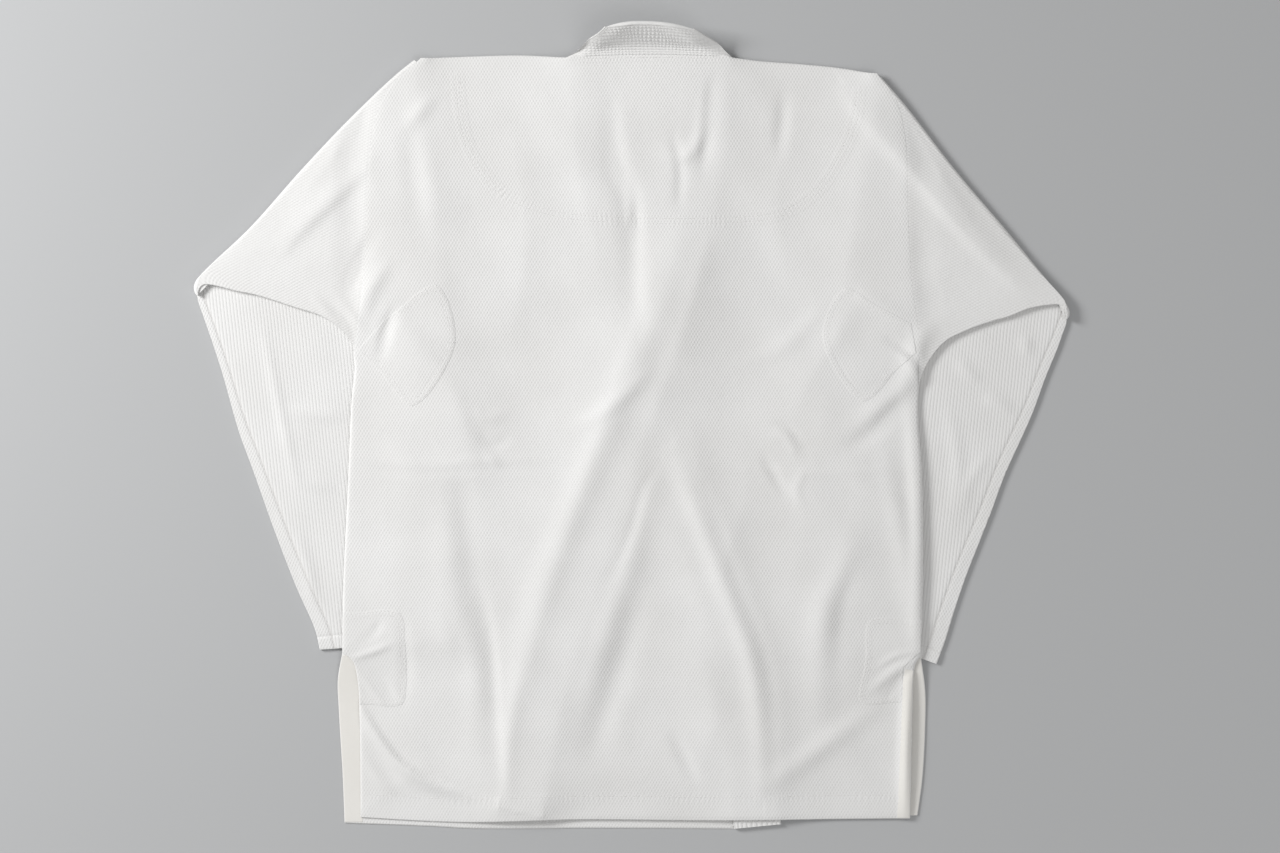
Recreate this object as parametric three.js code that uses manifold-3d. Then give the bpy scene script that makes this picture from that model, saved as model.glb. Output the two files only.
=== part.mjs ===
// A jiu-jitsu jacket laid on its front, with both sleeves folded under it.
// Millimetres, +Z up. +Y runs from the hem to the collar, and the wearer's left is at -X.
// From the surface up, the layers are the forearms, the left front, the right front and the back.
import * as THREE from "three";
import { mergeVertices } from "three/addons/utils/BufferGeometryUtils.js";
import Module from "manifold-3d";

const wasm = await Module();
wasm.setup();

// Thicknesses, and the room inside a fold
const CLOTH = 1.6;
const BAND = 5;
const TRIM = 1;
const GAP = 0.3;
const FOLD_ROOM = 1;
const LAYER = CLOTH + GAP;

// A folded sleeve is four walls, which turn under round the middle of them
const FOREARM_TOP = 2 * CLOTH + GAP;
const SLEEVE_TURN = FOREARM_TOP + FOLD_ROOM / 2;
const OVER_FOREARM = FOREARM_TOP + FOLD_ROOM;

// The collar band, and how it stands up at the back of the neck
const BAND_WIDTH = 50;
const BAND_TURN = BAND + FOLD_ROOM / 2;
const NECK = { left: -67, right: 104, line: 384.5, arch: 3, bend: 18, tilt: 0.93, steeper: 0.55 };

// The back's neck edge is held by the middle of the standing band
const NECK_SEAT = BAND_TURN + FOLD_ROOM / 2 + (BAND - CLOTH) / 2;

// The grid that every panel is cut from
const GRID = { left: -326, right: 325, bottom: -438, top: 408, columns: 27, rows: 26 };
const COLUMN = (GRID.right - GRID.left) / GRID.columns;
const ROW = (GRID.top - GRID.bottom) / GRID.rows;

// How loosely the back lies on the layers under it, away from its edges, and how steeply cloth falls
const LOFT = { height: 3, margin: 70 };
const FALL = { rounds: 14, drop: 0.3 };

const CLOTH_FINISH = { color: "#e6e4e1", roughness: 0.9, metalness: 0 };
const TAPE_FINISH = { color: "#e3dccb", roughness: 0.75, metalness: 0 };

// Cells along a curved edge, across a sleeve, along its upper part, round its fold and along its
// forearm, and down a lapel
const CELLS = { edge: 6, across: 8, upper: 5, turn: 6, forearm: 8, neck: 7, start: 8, lapel: 14 };

// Edges of the panels seen from above, each as [x, y] places that a smooth line passes
const EDGE = {
  shoulderLeft: [[-216, 383], [-169, 385], [-117, 386], [-68, 383.5]],
  neck: [[-68, 383.5], [-30, 385.5], [18, 386.5], [66, 385.5], [105, 383.5]],
  shoulderRight: [[105, 383.5], [134, 380], [176, 377], [217, 373], [251, 367]],
  armholeLeft: [[-216, 383], [-247, 355], [-262, 325], [-269, 285], [-273, 215], [-278, 142], [-287, 79]],
  armholeRight: [[251, 367], [270, 342], [279, 309], [282, 277], [284, 204], [289, 136], [299, 84]],
  sideLeft: [[-287, 79], [-292, 27], [-296, -65], [-301, -173], [-302, -237]],
  sideRight: [[299, 84], [299, 20], [302, -50], [303, -150], [301, -240]],
  ventBackLeft: [[-302, -237], [-291, -246], [-286, -267], [-284, -307], [-283, -409]],
  ventBackRight: [[301, -240], [295, -250], [292, -308], [290, -410]],
  ventFrontLeft: [[-302, -237], [-307, -266], [-306, -297], [-302, -365], [-300, -415]],
  ventFrontRight: [[301, -240], [306, -276], [306, -318], [303, -370], [298, -407]],
  hemBack: [[-283, -409], [-211, -413], [-169, -414], [-60, -411], [71, -412], [176, -411], [290, -410]],
  hemFrontLeft: [[-300, -415], [-209, -418], [-169, -420], [-33, -419], [106, -419]],
  hemFrontRight: [[298, -407], [100, -409], [-92, -409]],
  lapelLeft: [[-67, 384], [-56, 263], [-26, 126], [4, 19], [37, -85], [69, -189], [93, -291], [106, -421]],
  lapelRight: [[104, 384], [94, 262], [62, 125], [27, 19], [-9, -86], [-40, -189], [-71, -293], [-92, -409]],
};

// Each sleeve from its top edge to its underarm edge: the armhole, the fold at the elbow and the cuff.
// rise lifts the underarm edge between armpit and elbow, and bow rounds the forearm's outer edge.
const SLEEVES = [
  { name: "left", side: -1, armhole: "armholeLeft", rise: 17, bow: 6,
    fold: [[-227, 382], [-340, 270], [-456, 154]], cuff: [[-145, -222], [-326, -234]] },
  { name: "right", side: 1, armhole: "armholeRight", rise: 6, bow: 4,
    fold: [[259, 365], [362, 240], [456, 124]], cuff: [[161, -193], [318, -249]] },
];

// The two halves of the collar band: the seam edge of the lapel, and rows of [y, lift] that carry
// the right lapel over the left one and over the left front
const LAPELS = [
  { side: -1, corner: NECK.left, edge: "lapelLeft", lift: [[400, 0], [-430, 0]] },
  { side: 1, corner: NECK.right, edge: "lapelRight",
    lift: [[400, 0], [215, 0], [150, BAND + GAP], [-25, BAND + GAP], [-85, 2 * LAYER], [-430, 2 * LAYER]] },
];

// The back's main folds, height up for a ridge and down for a trough, each along its run
const FOLDS = [
  { height: 7, width: 20, run: [[47, -30], [96, -160], [124, -235], [136, -320], [138, -380]] },
  { height: -3, width: 12, run: [[70, -60], [112, -175], [138, -248], [146, -330], [147, -385]] },
  { height: -4, width: 13, run: [[5, -190], [-20, -275], [-44, -345]] },
  { height: 4, width: 12, run: [[20, -55], [8, -100], [-4, -150], [-22, -200], [-50, -290]] },
  { height: -4, width: 11, run: [[-178, -45], [-165, -180], [-140, -230], [-146, -345], [-140, -390]] },
  { height: 4, width: 13, run: [[-196, -60], [-184, -180], [-164, -245], [-166, -345]] },
  { height: -4, width: 14, run: [[-22, 348], [-14, 267], [0, 230], [2, 147], [8, 105]] },
  { height: 4, width: 16, run: [[55, 212], [19, 98], [-19, 14], [-43, -46], [-92, -169], [-128, -321]] },
  { height: 3, width: 10, run: [[80, 360], [72, 300], [55, 280], [28, 284]] },
  { height: 4, width: 11, run: [[238, -115], [222, -150], [196, -190], [196, -315]] },
  { height: 3, width: 11, run: [[141, -374], [176, -351], [209, -327], [258, -293]] },
  { height: 4, width: 12, run: [[-284, -307], [-242, -352], [-218, -375], [-190, -384]] },
  { height: 5, width: 13, run: [[318, 105], [300, 88], [285, 40], [256, 16], [236, -2]] },
  { height: -3, width: 11, run: [[288, 40], [262, 4], [222, -26]] },
  { height: 4, width: 11, run: [[262, -22], [284, -130], [296, -225]] },
  { height: 3, width: 12, run: [[8, 46], [-34, 8], [-80, -12], [-118, -28]] },
  { height: 4, width: 12, run: [[232, 350], [246, 326], [292, 276], [338, 222], [376, 180], [420, 140]] },
  { height: 4, width: 12, run: [[-268, 282], [-312, 238], [-355, 197], [-366, 178]] },
  { height: 4, width: 12, run: [[-262, 170], [-280, 142], [-284, 100]] },
];

// What is sewn on a panel, seen from above
const TRIMS = [
  { name: "armpit_patch_left", on: "back",
    outline: [[-295, 79], [-257, 111], [-204, 147], [-184, 86], [-229, 20], [-266, 60]] },
  { name: "armpit_patch_right", on: "back",
    outline: [[310, 104], [257, 124], [222, 144], [198, 92], [241, 25], [280, 62], [310, 72]] },
  { name: "vent_patch_left", on: "back",
    outline: [[-310, -194], [-242, -195], [-236, -230], [-235, -267], [-240, -291], [-310, -291]] },
  { name: "vent_patch_right", on: "back",
    outline: [[247, -203], [320, -203], [320, -247], [282, -250], [280, -289], [238, -289]] },
  { name: "vent_tape_back_right", on: "back",
    outline: [[283, -252], [320, -252], [320, -425], [277, -425]] },
  { name: "vent_tape_front_left", on: "frontLeft",
    outline: [[-320, -252], [-294, -252], [-288, -268], [-286, -308], [-285, -425], [-320, -425]] },
  { name: "vent_tape_front_right", on: "frontRight",
    outline: [[298, -256], [320, -256], [320, -425], [292.5, -425], [294.5, -308]] },
];

// A smooth line through places in the plan
function curveThrough(places) {
  return new THREE.CatmullRomCurve3(places.map(([x, y]) => new THREE.Vector3(x, y, 0)), false, "centripetal");
}

// Points at even distances along that line
function sampled(places, cells = CELLS.edge) {
  return curveThrough(places).getSpacedPoints(cells).map((p) => [p.x, p.y]);
}

const turned = (points) => [...points].reverse();

// A closed outline from its edges in order, each edge starting where the one before ends
const closed = (...edges) => edges.flatMap((edge) => edge.slice(1));

const ARMHOLES = {
  armholeLeft: sampled(EDGE.armholeLeft, CELLS.across),
  armholeRight: sampled(EDGE.armholeRight, CELLS.across),
};
const OUTLINES = {
  back: closed(
    sampled(EDGE.neck), sampled(EDGE.shoulderRight), ARMHOLES.armholeRight, sampled(EDGE.sideRight),
    sampled(EDGE.ventBackRight), turned(sampled(EDGE.hemBack)), turned(sampled(EDGE.ventBackLeft)),
    turned(sampled(EDGE.sideLeft)), turned(ARMHOLES.armholeLeft), sampled(EDGE.shoulderLeft),
  ),
  frontLeft: closed(
    sampled(EDGE.lapelLeft, CELLS.lapel), turned(sampled(EDGE.hemFrontLeft)),
    turned(sampled(EDGE.ventFrontLeft)), turned(sampled(EDGE.sideLeft)), turned(ARMHOLES.armholeLeft),
    sampled(EDGE.shoulderLeft),
  ),
  frontRight: closed(
    sampled(EDGE.shoulderRight), ARMHOLES.armholeRight, sampled(EDGE.sideRight),
    sampled(EDGE.ventFrontRight), sampled(EDGE.hemFrontRight),
    turned(sampled(EDGE.lapelRight, CELLS.lapel)),
  ),
};

// Distance from a point to a run of straight pieces, and the share of the run at the nearest place
function nearest(run, x, y) {
  let best = { distance: Infinity, along: 0 };
  run.slice(1).forEach(([bx, by], i) => {
    const [ax, ay] = run[i];
    const square = (bx - ax) ** 2 + (by - ay) ** 2;
    const t = THREE.MathUtils.clamp(((x - ax) * (bx - ax) + (y - ay) * (by - ay)) / square, 0, 1);
    const distance = Math.hypot(x - ax - t * (bx - ax), y - ay - t * (by - ay));
    if (distance < best.distance) {
      best = { distance, along: (i + t) / (run.length - 1) };
    }
  });
  return best;
}

// Whether a point lies inside a closed outline
function inside(outline, x, y) {
  const crossings = outline.filter(([ax, ay], i) => {
    const [bx, by] = outline[(i + 1) % outline.length];
    return ay > y !== by > y && x < ax + ((y - ay) / (by - ay)) * (bx - ax);
  });
  return crossings.length % 2 === 1;
}

// The value in rows of [position, value], listed from the highest position, eased between rows
function eased(rows, at) {
  const next = rows.findIndex(([position]) => position <= at);
  if (next <= 0) {
    return next === 0 ? rows[0][1] : rows[rows.length - 1][1];
  }
  const [from, a] = rows[next - 1];
  const [to, b] = rows[next];
  return a + (b - a) * THREE.MathUtils.smoothstep((from - at) / (from - to), 0, 1);
}

// How far the folds move the cloth at a point. A fold is round in section and dies away at both ends.
function folded(x, y) {
  return FOLDS.reduce((sum, { height, width, run }) => {
    const { distance, along } = nearest(run, x, y);
    const ends = Math.sin(Math.PI * (0.06 + 0.88 * along)) ** 0.6;
    return sum + height * ends * Math.exp(-((distance / width) ** 2));
  }, 0);
}

// The lapel's ribbon: the plan point at s along its seam edge and w across it. Above the collar's
// corner, where s is negative, it goes straight on.
const RIBBONS = LAPELS.map((lapel) => {
  const curve = curveThrough(EDGE[lapel.edge]);
  const length = curve.getLength();
  const start = curve.getPointAt(0);
  const heading = curve.getTangentAt(0);
  const place = (s, w) => {
    const share = THREE.MathUtils.clamp(s / length, 0, 1);
    const at = s < 0 ? start.clone().addScaledVector(heading, s) : curve.getPointAt(share);
    const along = s < 0 ? heading : curve.getTangentAt(share);
    return [at.x + lapel.side * along.y * w, at.y - lapel.side * along.x * w];
  };
  const edges = Array.from({ length: CELLS.lapel + 1 }, (_, i) => (length * i) / CELLS.lapel);
  const outline = [...edges.map((s) => place(s, 0)), ...turned(edges).map((s) => place(s, BAND_WIDTH))];
  return { ...lapel, length, heading, place, outline };
});

// Node heights of the grid, as one list
const NODES = Array.from({ length: (GRID.columns + 1) * (GRID.rows + 1) }, (_, n) => {
  const i = n % (GRID.columns + 1);
  const j = Math.floor(n / (GRID.columns + 1));
  return { i, j, x: GRID.left + i * COLUMN, y: GRID.bottom + j * ROW };
});
const nodeAt = (i, j) => j * (GRID.columns + 1) + i;

// The highest value that a thing under the cloth has in the cells that meet at a node
const REACH = [-1, -0.5, 0, 0.5, 1];
function highestRound(node, heightAt) {
  return Math.max(...REACH.flatMap((a) => REACH.map((b) => heightAt(node.x + a * COLUMN, node.y + b * ROW))));
}

// Cloth laid over a list of least heights: it spans between high places and falls away from them
function laidOver(least) {
  let heights = [...least];
  for (let round = 0; round < FALL.rounds; round += 1) {
    heights = NODES.map(({ i, j }, n) => {
      const beside = [[i - 1, j], [i + 1, j], [i, j - 1], [i, j + 1]]
        .filter(([a, b]) => a >= 0 && a <= GRID.columns && b >= 0 && b <= GRID.rows)
        .map(([a, b]) => heights[nodeAt(a, b)]);
      const mean = beside.reduce((sum, h) => sum + h, 0) / beside.length;
      return Math.max(least[n], mean - FALL.drop);
    });
  }
  return heights;
}

const within = (outline, height) => (x, y) => (inside(outline, x, y) ? height : 0);
const forearms = SLEEVES.map(({ fold, cuff }) => within([...fold, ...turned(cuff)], OVER_FOREARM));
const ribbons = RIBBONS.map(({ outline, lift }) => (x, y) =>
  inside(outline, x, y) ? eased(lift, y) + BAND + GAP : 0);

// Undersides of the three panels, from the lowest up
const onForearms = NODES.map((node) => Math.max(...forearms.map((top) => highestRound(node, top))));
const overPanel = (outline, heights) => NODES.map((node, n) =>
  highestRound(node, within(outline, 1)) * (heights[n] + LAYER));
const highest = (...lists) => NODES.map((_, n) => Math.max(...lists.map((list) => list[n])));
const underLeft = laidOver(onForearms);
const onLeft = overPanel(OUTLINES.frontLeft, underLeft);
const [onLeftLapel, onRightLapel] = ribbons.map((top) => NODES.map((node) => highestRound(node, top)));
const underRight = laidOver(highest(onForearms, onLeft, onLeftLapel));
const onRight = overPanel(OUTLINES.frontRight, underRight);
const neckBox = [[NECK.left, NECK.line], [NECK.right, NECK.line], [NECK.right, GRID.top], [NECK.left, GRID.top]];
const onBand = NODES.map((node) => highestRound(node, within(neckBox, NECK_SEAT)));
const onAll = highest(onLeft, onRight, onLeftLapel, onRightLapel, onBand);
const restingBack = laidOver(onAll);
const underBack = NODES.map(({ x, y }, n) => {
  const edge = nearest([...OUTLINES.back, OUTLINES.back[0]], x, y).distance;
  const loose = inside(OUTLINES.back, x, y) ? THREE.MathUtils.smoothstep(edge, 0, LOFT.margin) : 0;
  return Math.max(onAll[n], restingBack[n] + LOFT.height * loose + folded(x, y));
});
const UNDERSIDES = { back: underBack, frontLeft: underLeft, frontRight: underRight };

// A closed mesh from points and triangles, with its faces turned to point out
function body(points, triangles) {
  const at = points.map((p) => new THREE.Vector3(...p));
  const volume = triangles.reduce((sum, [a, b, c]) => sum + at[a].dot(at[b].clone().cross(at[c])), 0);
  const geometry = new THREE.BufferGeometry();
  geometry.setAttribute("position", new THREE.Float32BufferAttribute(points.flat(), 3));
  geometry.setIndex(triangles.flatMap(([a, b, c]) => (volume < 0 ? [a, c, b] : [a, b, c])));
  return geometry;
}

// Rows of points joined by quads, each row closed on itself. The last row joins the first one, or
// both ends are closed flat.
function lofted(rows, looped) {
  const width = rows[0].length;
  const triangles = [];
  rows.slice(looped ? 0 : 1).forEach((_, r) => {
    for (let k = 0; k < width; k += 1) {
      const [a, b] = [r * width + k, r * width + ((k + 1) % width)];
      const [c, d] = [a, b].map((n) => (n + width) % (rows.length * width));
      triangles.push([a, b, d], [a, d, c]);
    }
  });
  if (!looped) {
    const last = (rows.length - 1) * width;
    for (let k = 1; k < width - 1; k += 1) {
      triangles.push([0, k + 1, k], [last, last + k, last + k + 1]);
    }
  }
  return body(rows.flat(), triangles);
}

// A solid that manifold-3d can cut
function solidOf(geometry) {
  const bare = geometry.clone();
  bare.deleteAttribute("normal");
  bare.deleteAttribute("uv");
  const merged = mergeVertices(bare, 1e-4);
  const vertProperties = new Float32Array(merged.attributes.position.array);
  const triVerts = new Uint32Array(merged.index.array);
  return new wasm.Manifold(new wasm.Mesh({ numProp: 3, vertProperties, triVerts }));
}

function geometryOf(solid) {
  const mesh = solid.getMesh();
  const geometry = new THREE.BufferGeometry();
  geometry.setAttribute("position", new THREE.BufferAttribute(new Float32Array(mesh.vertProperties), 3));
  geometry.setIndex(new THREE.BufferAttribute(new Uint32Array(mesh.triVerts), 1));
  return geometry;
}

// The whole grid as a wall of one thickness over the given undersides
function wallOver(undersides, thickness) {
  const points = [0, thickness].flatMap((up) => NODES.map(({ x, y }, n) => [x, y, undersides[n] + up]));
  const above = NODES.length;
  const triangles = [];
  const quad = (a, b, c, d) => triangles.push([a, b, c], [a, c, d]);
  for (let j = 0; j < GRID.rows; j += 1) {
    for (let i = 0; i < GRID.columns; i += 1) {
      const [a, b, c, d] = [nodeAt(i, j), nodeAt(i + 1, j), nodeAt(i + 1, j + 1), nodeAt(i, j + 1)];
      triangles.push([a, c, b], [a, d, c]);
      quad(a + above, b + above, c + above, d + above);
    }
  }
  const wall = (a, b) => quad(a, b, b + above, a + above);
  for (let i = 0; i < GRID.columns; i += 1) {
    wall(nodeAt(i, 0), nodeAt(i + 1, 0));
    wall(nodeAt(i + 1, GRID.rows), nodeAt(i, GRID.rows));
  }
  for (let j = 0; j < GRID.rows; j += 1) {
    wall(nodeAt(0, j + 1), nodeAt(0, j));
    wall(nodeAt(GRID.columns, j), nodeAt(GRID.columns, j + 1));
  }
  return solidOf(body(points, triangles));
}

// An outline as a tall block that reaches past every layer
const BLOCK = { from: -20, height: 120 };
function blockOf(outline) {
  const shape = new THREE.Shape(outline.map(([x, y]) => new THREE.Vector2(x, y)));
  const block = new THREE.ExtrudeGeometry(shape, { depth: BLOCK.height, bevelEnabled: false });
  return solidOf(block.translate(0, 0, BLOCK.from));
}

function panel(name) {
  return geometryOf(wallOver(UNDERSIDES[name], CLOTH).intersect(blockOf(OUTLINES[name])));
}

// A patch or tape is the panel's own top, moved out, and ends flush with the panel's edge
function trim({ on, outline }) {
  const wall = wallOver(UNDERSIDES[on].map((height) => height + LAYER), TRIM);
  return geometryOf(wall.intersect(blockOf(outline)).intersect(blockOf(OUTLINES[on])));
}

// Walls of the flat sleeve as distances out from the middle of its fold, and how far its round edges
// stand out past the flat
const SKINS = [
  { upper: SLEEVE_TURN, lower: FOLD_ROOM / 2, end: 0, round: 1.1 },
  { upper: SLEEVE_TURN - CLOTH, lower: FOLD_ROOM / 2 + CLOTH, end: -0.7, round: -0.6 },
];

// One sleeve: a flat tube from the armhole out to the elbow, round the fold and back to the cuff
function sleeve({ side, armhole, fold, cuff, rise, bow }) {
  const seam = ARMHOLES[armhole];
  const crease = sampled(fold, CELLS.across);
  const along = new THREE.Vector2(...fold[2]).sub(new THREE.Vector2(...fold[0])).normalize();
  const out = new THREE.Vector2(along.y, -along.x).multiplyScalar(-side);
  const cuffWay = new THREE.Vector2(...cuff[1]).sub(new THREE.Vector2(...cuff[0])).normalize();
  const starts = seam.map(([x, y]) => new THREE.Vector2(x + side * GAP, y + GAP));
  const turns = crease.map(([x, y]) => new THREE.Vector2(x, y).addScaledVector(out, -SLEEVE_TURN));
  const ends = turns.map((_, i) => new THREE.Vector2(...cuff[0]).lerp(new THREE.Vector2(...cuff[1]), i / CELLS.across));
  const down = new THREE.Vector2(0, -1);

  // The place on the wall at i cells across, a distance past the edge, a station along and r from the turn
  const place = (i, past, station, r) => {
    const share = i / CELLS.across;
    const [low, high] = [CELLS.upper, CELLS.upper + CELLS.turn];
    let at;
    let edgeWay = along;
    let z = SLEEVE_TURN + r;
    if (station <= low) {
      const t = station / low;
      at = starts[i].clone().lerp(turns[i], t);
      at.y += rise * share ** 2 * 4 * t * (1 - t);
      edgeWay = i === 0 ? along : down.clone().lerp(along, t).normalize();
      const fade = THREE.MathUtils.smoothstep(1 - t, 0, 0.35) * Math.min(1, 6 * share * (1 - share) + 0.1);
      z += r > CLOTH + FOLD_ROOM / 2 ? Math.max(0, folded(at.x, at.y)) * fade : 0;
    } else if (station <= high) {
      const angle = (Math.PI * (station - low)) / CELLS.turn;
      at = turns[i].clone().addScaledVector(out, r * Math.sin(angle));
      z = SLEEVE_TURN + r * Math.cos(angle);
    } else {
      const t = (station - high) / CELLS.forearm;
      at = turns[i].clone().lerp(ends[i], t);
      at.x += side * bow * share ** 2 * 4 * t * (1 - t);
      edgeWay = along.clone().lerp(cuffWay, t).normalize();
      z = SLEEVE_TURN - r;
    }
    at.addScaledVector(edgeWay, past);
    return [at.x, at.y, z];
  };

  const stations = Array.from({ length: CELLS.upper + CELLS.turn + CELLS.forearm + 1 }, (_, v) => v);
  const across = Array.from({ length: CELLS.across + 1 }, (_, i) => i);
  const rowsOf = ({ upper, lower, end, round }) => {
    const past = (i) => (i === 0 ? -end : 0) + (i === CELLS.across ? end : 0);
    const thirds = [upper - (upper - lower) / 3, lower + (upper - lower) / 3];
    return stations.map((v) => [
      ...across.map((i) => place(i, past(i), v, upper)),
      ...thirds.map((r) => place(CELLS.across, round, v, r)),
      ...turned(across).map((i) => place(i, past(i), v, lower)),
      ...turned(thirds).map((r) => place(0, -round, v, r)),
    ]);
  };
  return lofted([...rowsOf(SKINS[0]), ...turned(rowsOf(SKINS[1]))], true);
}

// Stands the collar up: everything past the neck line turns up round a soft bend
function stoodUp([x, y, z]) {
  const middle = (NECK.left + NECK.right) / 2;
  const share = THREE.MathUtils.clamp((x - middle) / (NECK.right - middle), -1, 1);
  const line = NECK.line + NECK.arch * (1 - share ** 2);
  const past = y - line;
  if (past <= 0) {
    return [x, y, z];
  }
  const tilt = NECK.tilt + NECK.steeper * share ** 2;
  const radius = NECK.bend / tilt;
  const angle = Math.min(past / radius, tilt);
  const beyond = Math.max(past - NECK.bend, 0);
  const up = z - BAND_TURN;
  return [
    x,
    line + radius * Math.sin(angle) + beyond * Math.cos(angle) - up * Math.sin(angle),
    BAND_TURN + radius * (1 - Math.cos(angle)) + beyond * Math.sin(angle) + up * Math.cos(angle),
  ];
}

// Section of the band, as places [across, out from the middle of its turn]
const [INNER, OUTER] = [FOLD_ROOM / 2, FOLD_ROOM / 2 + BAND];
const SECTION = [
  [GAP, OUTER - 1], [1.3, OUTER], [BAND_WIDTH / 3, OUTER], [(BAND_WIDTH * 2) / 3, OUTER], [BAND_WIDTH - 1, OUTER],
  [BAND_WIDTH, OUTER - 1], [BAND_WIDTH, INNER + 1], [BAND_WIDTH - 1, INNER], [(BAND_WIDTH * 2) / 3, INNER],
  [BAND_WIDTH / 3, INNER], [1.3, INNER], [GAP, INNER + 1],
];

// Half of the collar band, from the middle of the neck to the lapel's end. It turns under along a
// slanting line at the collar's corner, because the lapel leaves the neck at an angle.
function halfBand({ side, corner, lift, length, heading, place }) {
  const slant = (1 + side * heading.x) / -heading.y;
  const across = new THREE.Vector2(side, slant).normalize();
  const halfNeck = (NECK.right - NECK.left) / 2;
  const rows = [];
  const add = (point) => rows.push(SECTION.map(([w, r]) => stoodUp(point(w, r))));
  const neckPoint = (s, w, z) => {
    const x = corner + side * s;
    const share = (x - (NECK.left + NECK.right) / 2) / halfNeck;
    return [x, NECK.line + NECK.arch * Math.max(0, 1 - share ** 2) + w, z];
  };
  for (let k = 0; k < CELLS.neck; k += 1) {
    const s = -halfNeck * (1 - k / CELLS.neck);
    add((w, r) => neckPoint(s - (slant * w * k) / CELLS.neck, w, BAND_TURN + r));
  }
  for (let k = 0; k <= CELLS.turn; k += 1) {
    const angle = (Math.PI * k) / CELLS.turn;
    add((w, r) => {
      const [x, y] = neckPoint(-slant * w, w, 0);
      const reach = r * Math.sin(angle);
      return [x + across.x * reach, y + across.y * reach, BAND_TURN + r * Math.cos(angle)];
    });
  }
  const starts = Array.from({ length: CELLS.start }, (_, k) => (k + 1) / CELLS.start);
  const rests = Array.from({ length: CELLS.lapel - 1 }, (_, k) => k + 2);
  for (const cell of [...starts, ...rests]) {
    const s = (length * cell) / CELLS.lapel;
    const lean = slant * Math.max(0, 1 - cell);
    add((w, r) => {
      const [x, y] = place(s - lean * w, w);
      return [x, y, BAND_TURN - r + eased(lift, place(s, 0)[1])];
    });
  }
  return rows;
}

function collarBand() {
  const [left, right] = RIBBONS.map(halfBand);
  return lofted([...turned(left), ...right.slice(1)], false);
}

const jacket = new THREE.Group();
function add(name, geometry, finish = CLOTH_FINISH) {
  const piece = new THREE.Mesh(geometry, new THREE.MeshStandardMaterial(finish));
  piece.name = name;
  jacket.add(piece);
}

add("back_panel", panel("back"));
add("front_left", panel("frontLeft"));
add("front_right", panel("frontRight"));
SLEEVES.forEach((each) => add(`sleeve_${each.name}`, sleeve(each)));
add("collar_band", collarBand());
TRIMS.forEach((each) => add(each.name, trim(each), each.name.includes("tape") ? TAPE_FINISH : CLOTH_FINISH));

export default jacket;
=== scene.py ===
"""A white jiu-jitsu jacket laid on its front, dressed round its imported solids.

Shapes are worked out in millimetres, as numpy arrays over a grid of two parameters, and become metres when a
mesh is made. +Y runs from the hem to the collar, and the wearer's left is at -X.
"""

import math

import bpy
import numpy as np
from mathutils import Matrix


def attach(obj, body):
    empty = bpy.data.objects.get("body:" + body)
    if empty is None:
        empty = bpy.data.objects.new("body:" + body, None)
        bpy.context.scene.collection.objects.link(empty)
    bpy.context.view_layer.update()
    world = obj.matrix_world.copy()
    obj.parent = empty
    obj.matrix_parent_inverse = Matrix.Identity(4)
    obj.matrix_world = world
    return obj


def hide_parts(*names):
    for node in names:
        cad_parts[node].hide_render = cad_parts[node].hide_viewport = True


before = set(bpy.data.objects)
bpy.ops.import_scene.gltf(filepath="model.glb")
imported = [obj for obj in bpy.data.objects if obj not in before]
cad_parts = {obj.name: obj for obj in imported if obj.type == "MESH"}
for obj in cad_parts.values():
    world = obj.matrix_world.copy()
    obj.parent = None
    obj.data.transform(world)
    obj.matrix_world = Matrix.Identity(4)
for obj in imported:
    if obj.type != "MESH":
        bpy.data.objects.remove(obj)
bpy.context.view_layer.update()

# The fronts: two panels of white pearl weave cotton, each with a slanting front edge. The left one lies
# lowest, on the floor and over the folded sleeve, and the right one lies over it.
MM = 0.001
CLOTH = 1.6
GAP = 0.3
LAYER = CLOTH + GAP
GRID_STEP = 3.6

EDGE = {
    "shoulder_left": [(-216, 383), (-169, 385), (-117, 386), (-68, 383.5)],
    "neck": [(-68, 383.5), (-60, 386.5), (-30, 388), (18, 389), (66, 388), (97, 386.5), (105, 383.5)],
    "shoulder_right": [(105, 383.5), (134, 380), (176, 377), (217, 373), (251, 367)],
    "armhole_left": [(-216, 383), (-247, 355), (-262, 325), (-269, 285), (-273, 215), (-278, 142),
                     (-287, 72)],
    "armhole_right": [(251, 367), (270, 342), (279, 309), (282, 277), (284, 204), (289, 136),
                      (297, 84), (299, 42)],
    "side_left": [(-287, 72), (-292, 27), (-296, -65), (-301, -173), (-302, -237)],
    "side_right": [(299, 42), (298, 10), (302, -50), (303, -150), (301, -240)],
    "vent_back_left": [(-302, -237), (-291, -246), (-286, -267), (-284, -307), (-283, -409)],
    "vent_back_right": [(301, -240), (295, -250), (292, -308), (290, -410)],
    "vent_front_left": [(-302, -237), (-307, -266), (-306, -297), (-302, -365), (-300, -415)],
    "vent_front_right": [(301, -240), (306, -276), (306, -318), (303, -370), (298, -407)],
    "hem_back": [(-283, -409), (-211, -413), (-169, -414), (-60, -411), (71, -412), (176, -411), (290, -410)],
    "hem_front_left": [(-300, -415), (-209, -418), (-169, -420), (-33, -419), (106, -419)],
    "hem_front_right": [(298, -407), (100, -409), (-92, -409)],
    "lapel_left": [(-67, 384), (-56, 263), (-26, 126), (4, 19), (37, -85), (69, -189), (93, -291),
                   (106, -421)],
    "lapel_right": [(104, 384), (94, 262), (62, 125), (27, 19), (-9, -86), (-40, -189), (-71, -293),
                    (-92, -409)],
}


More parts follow.
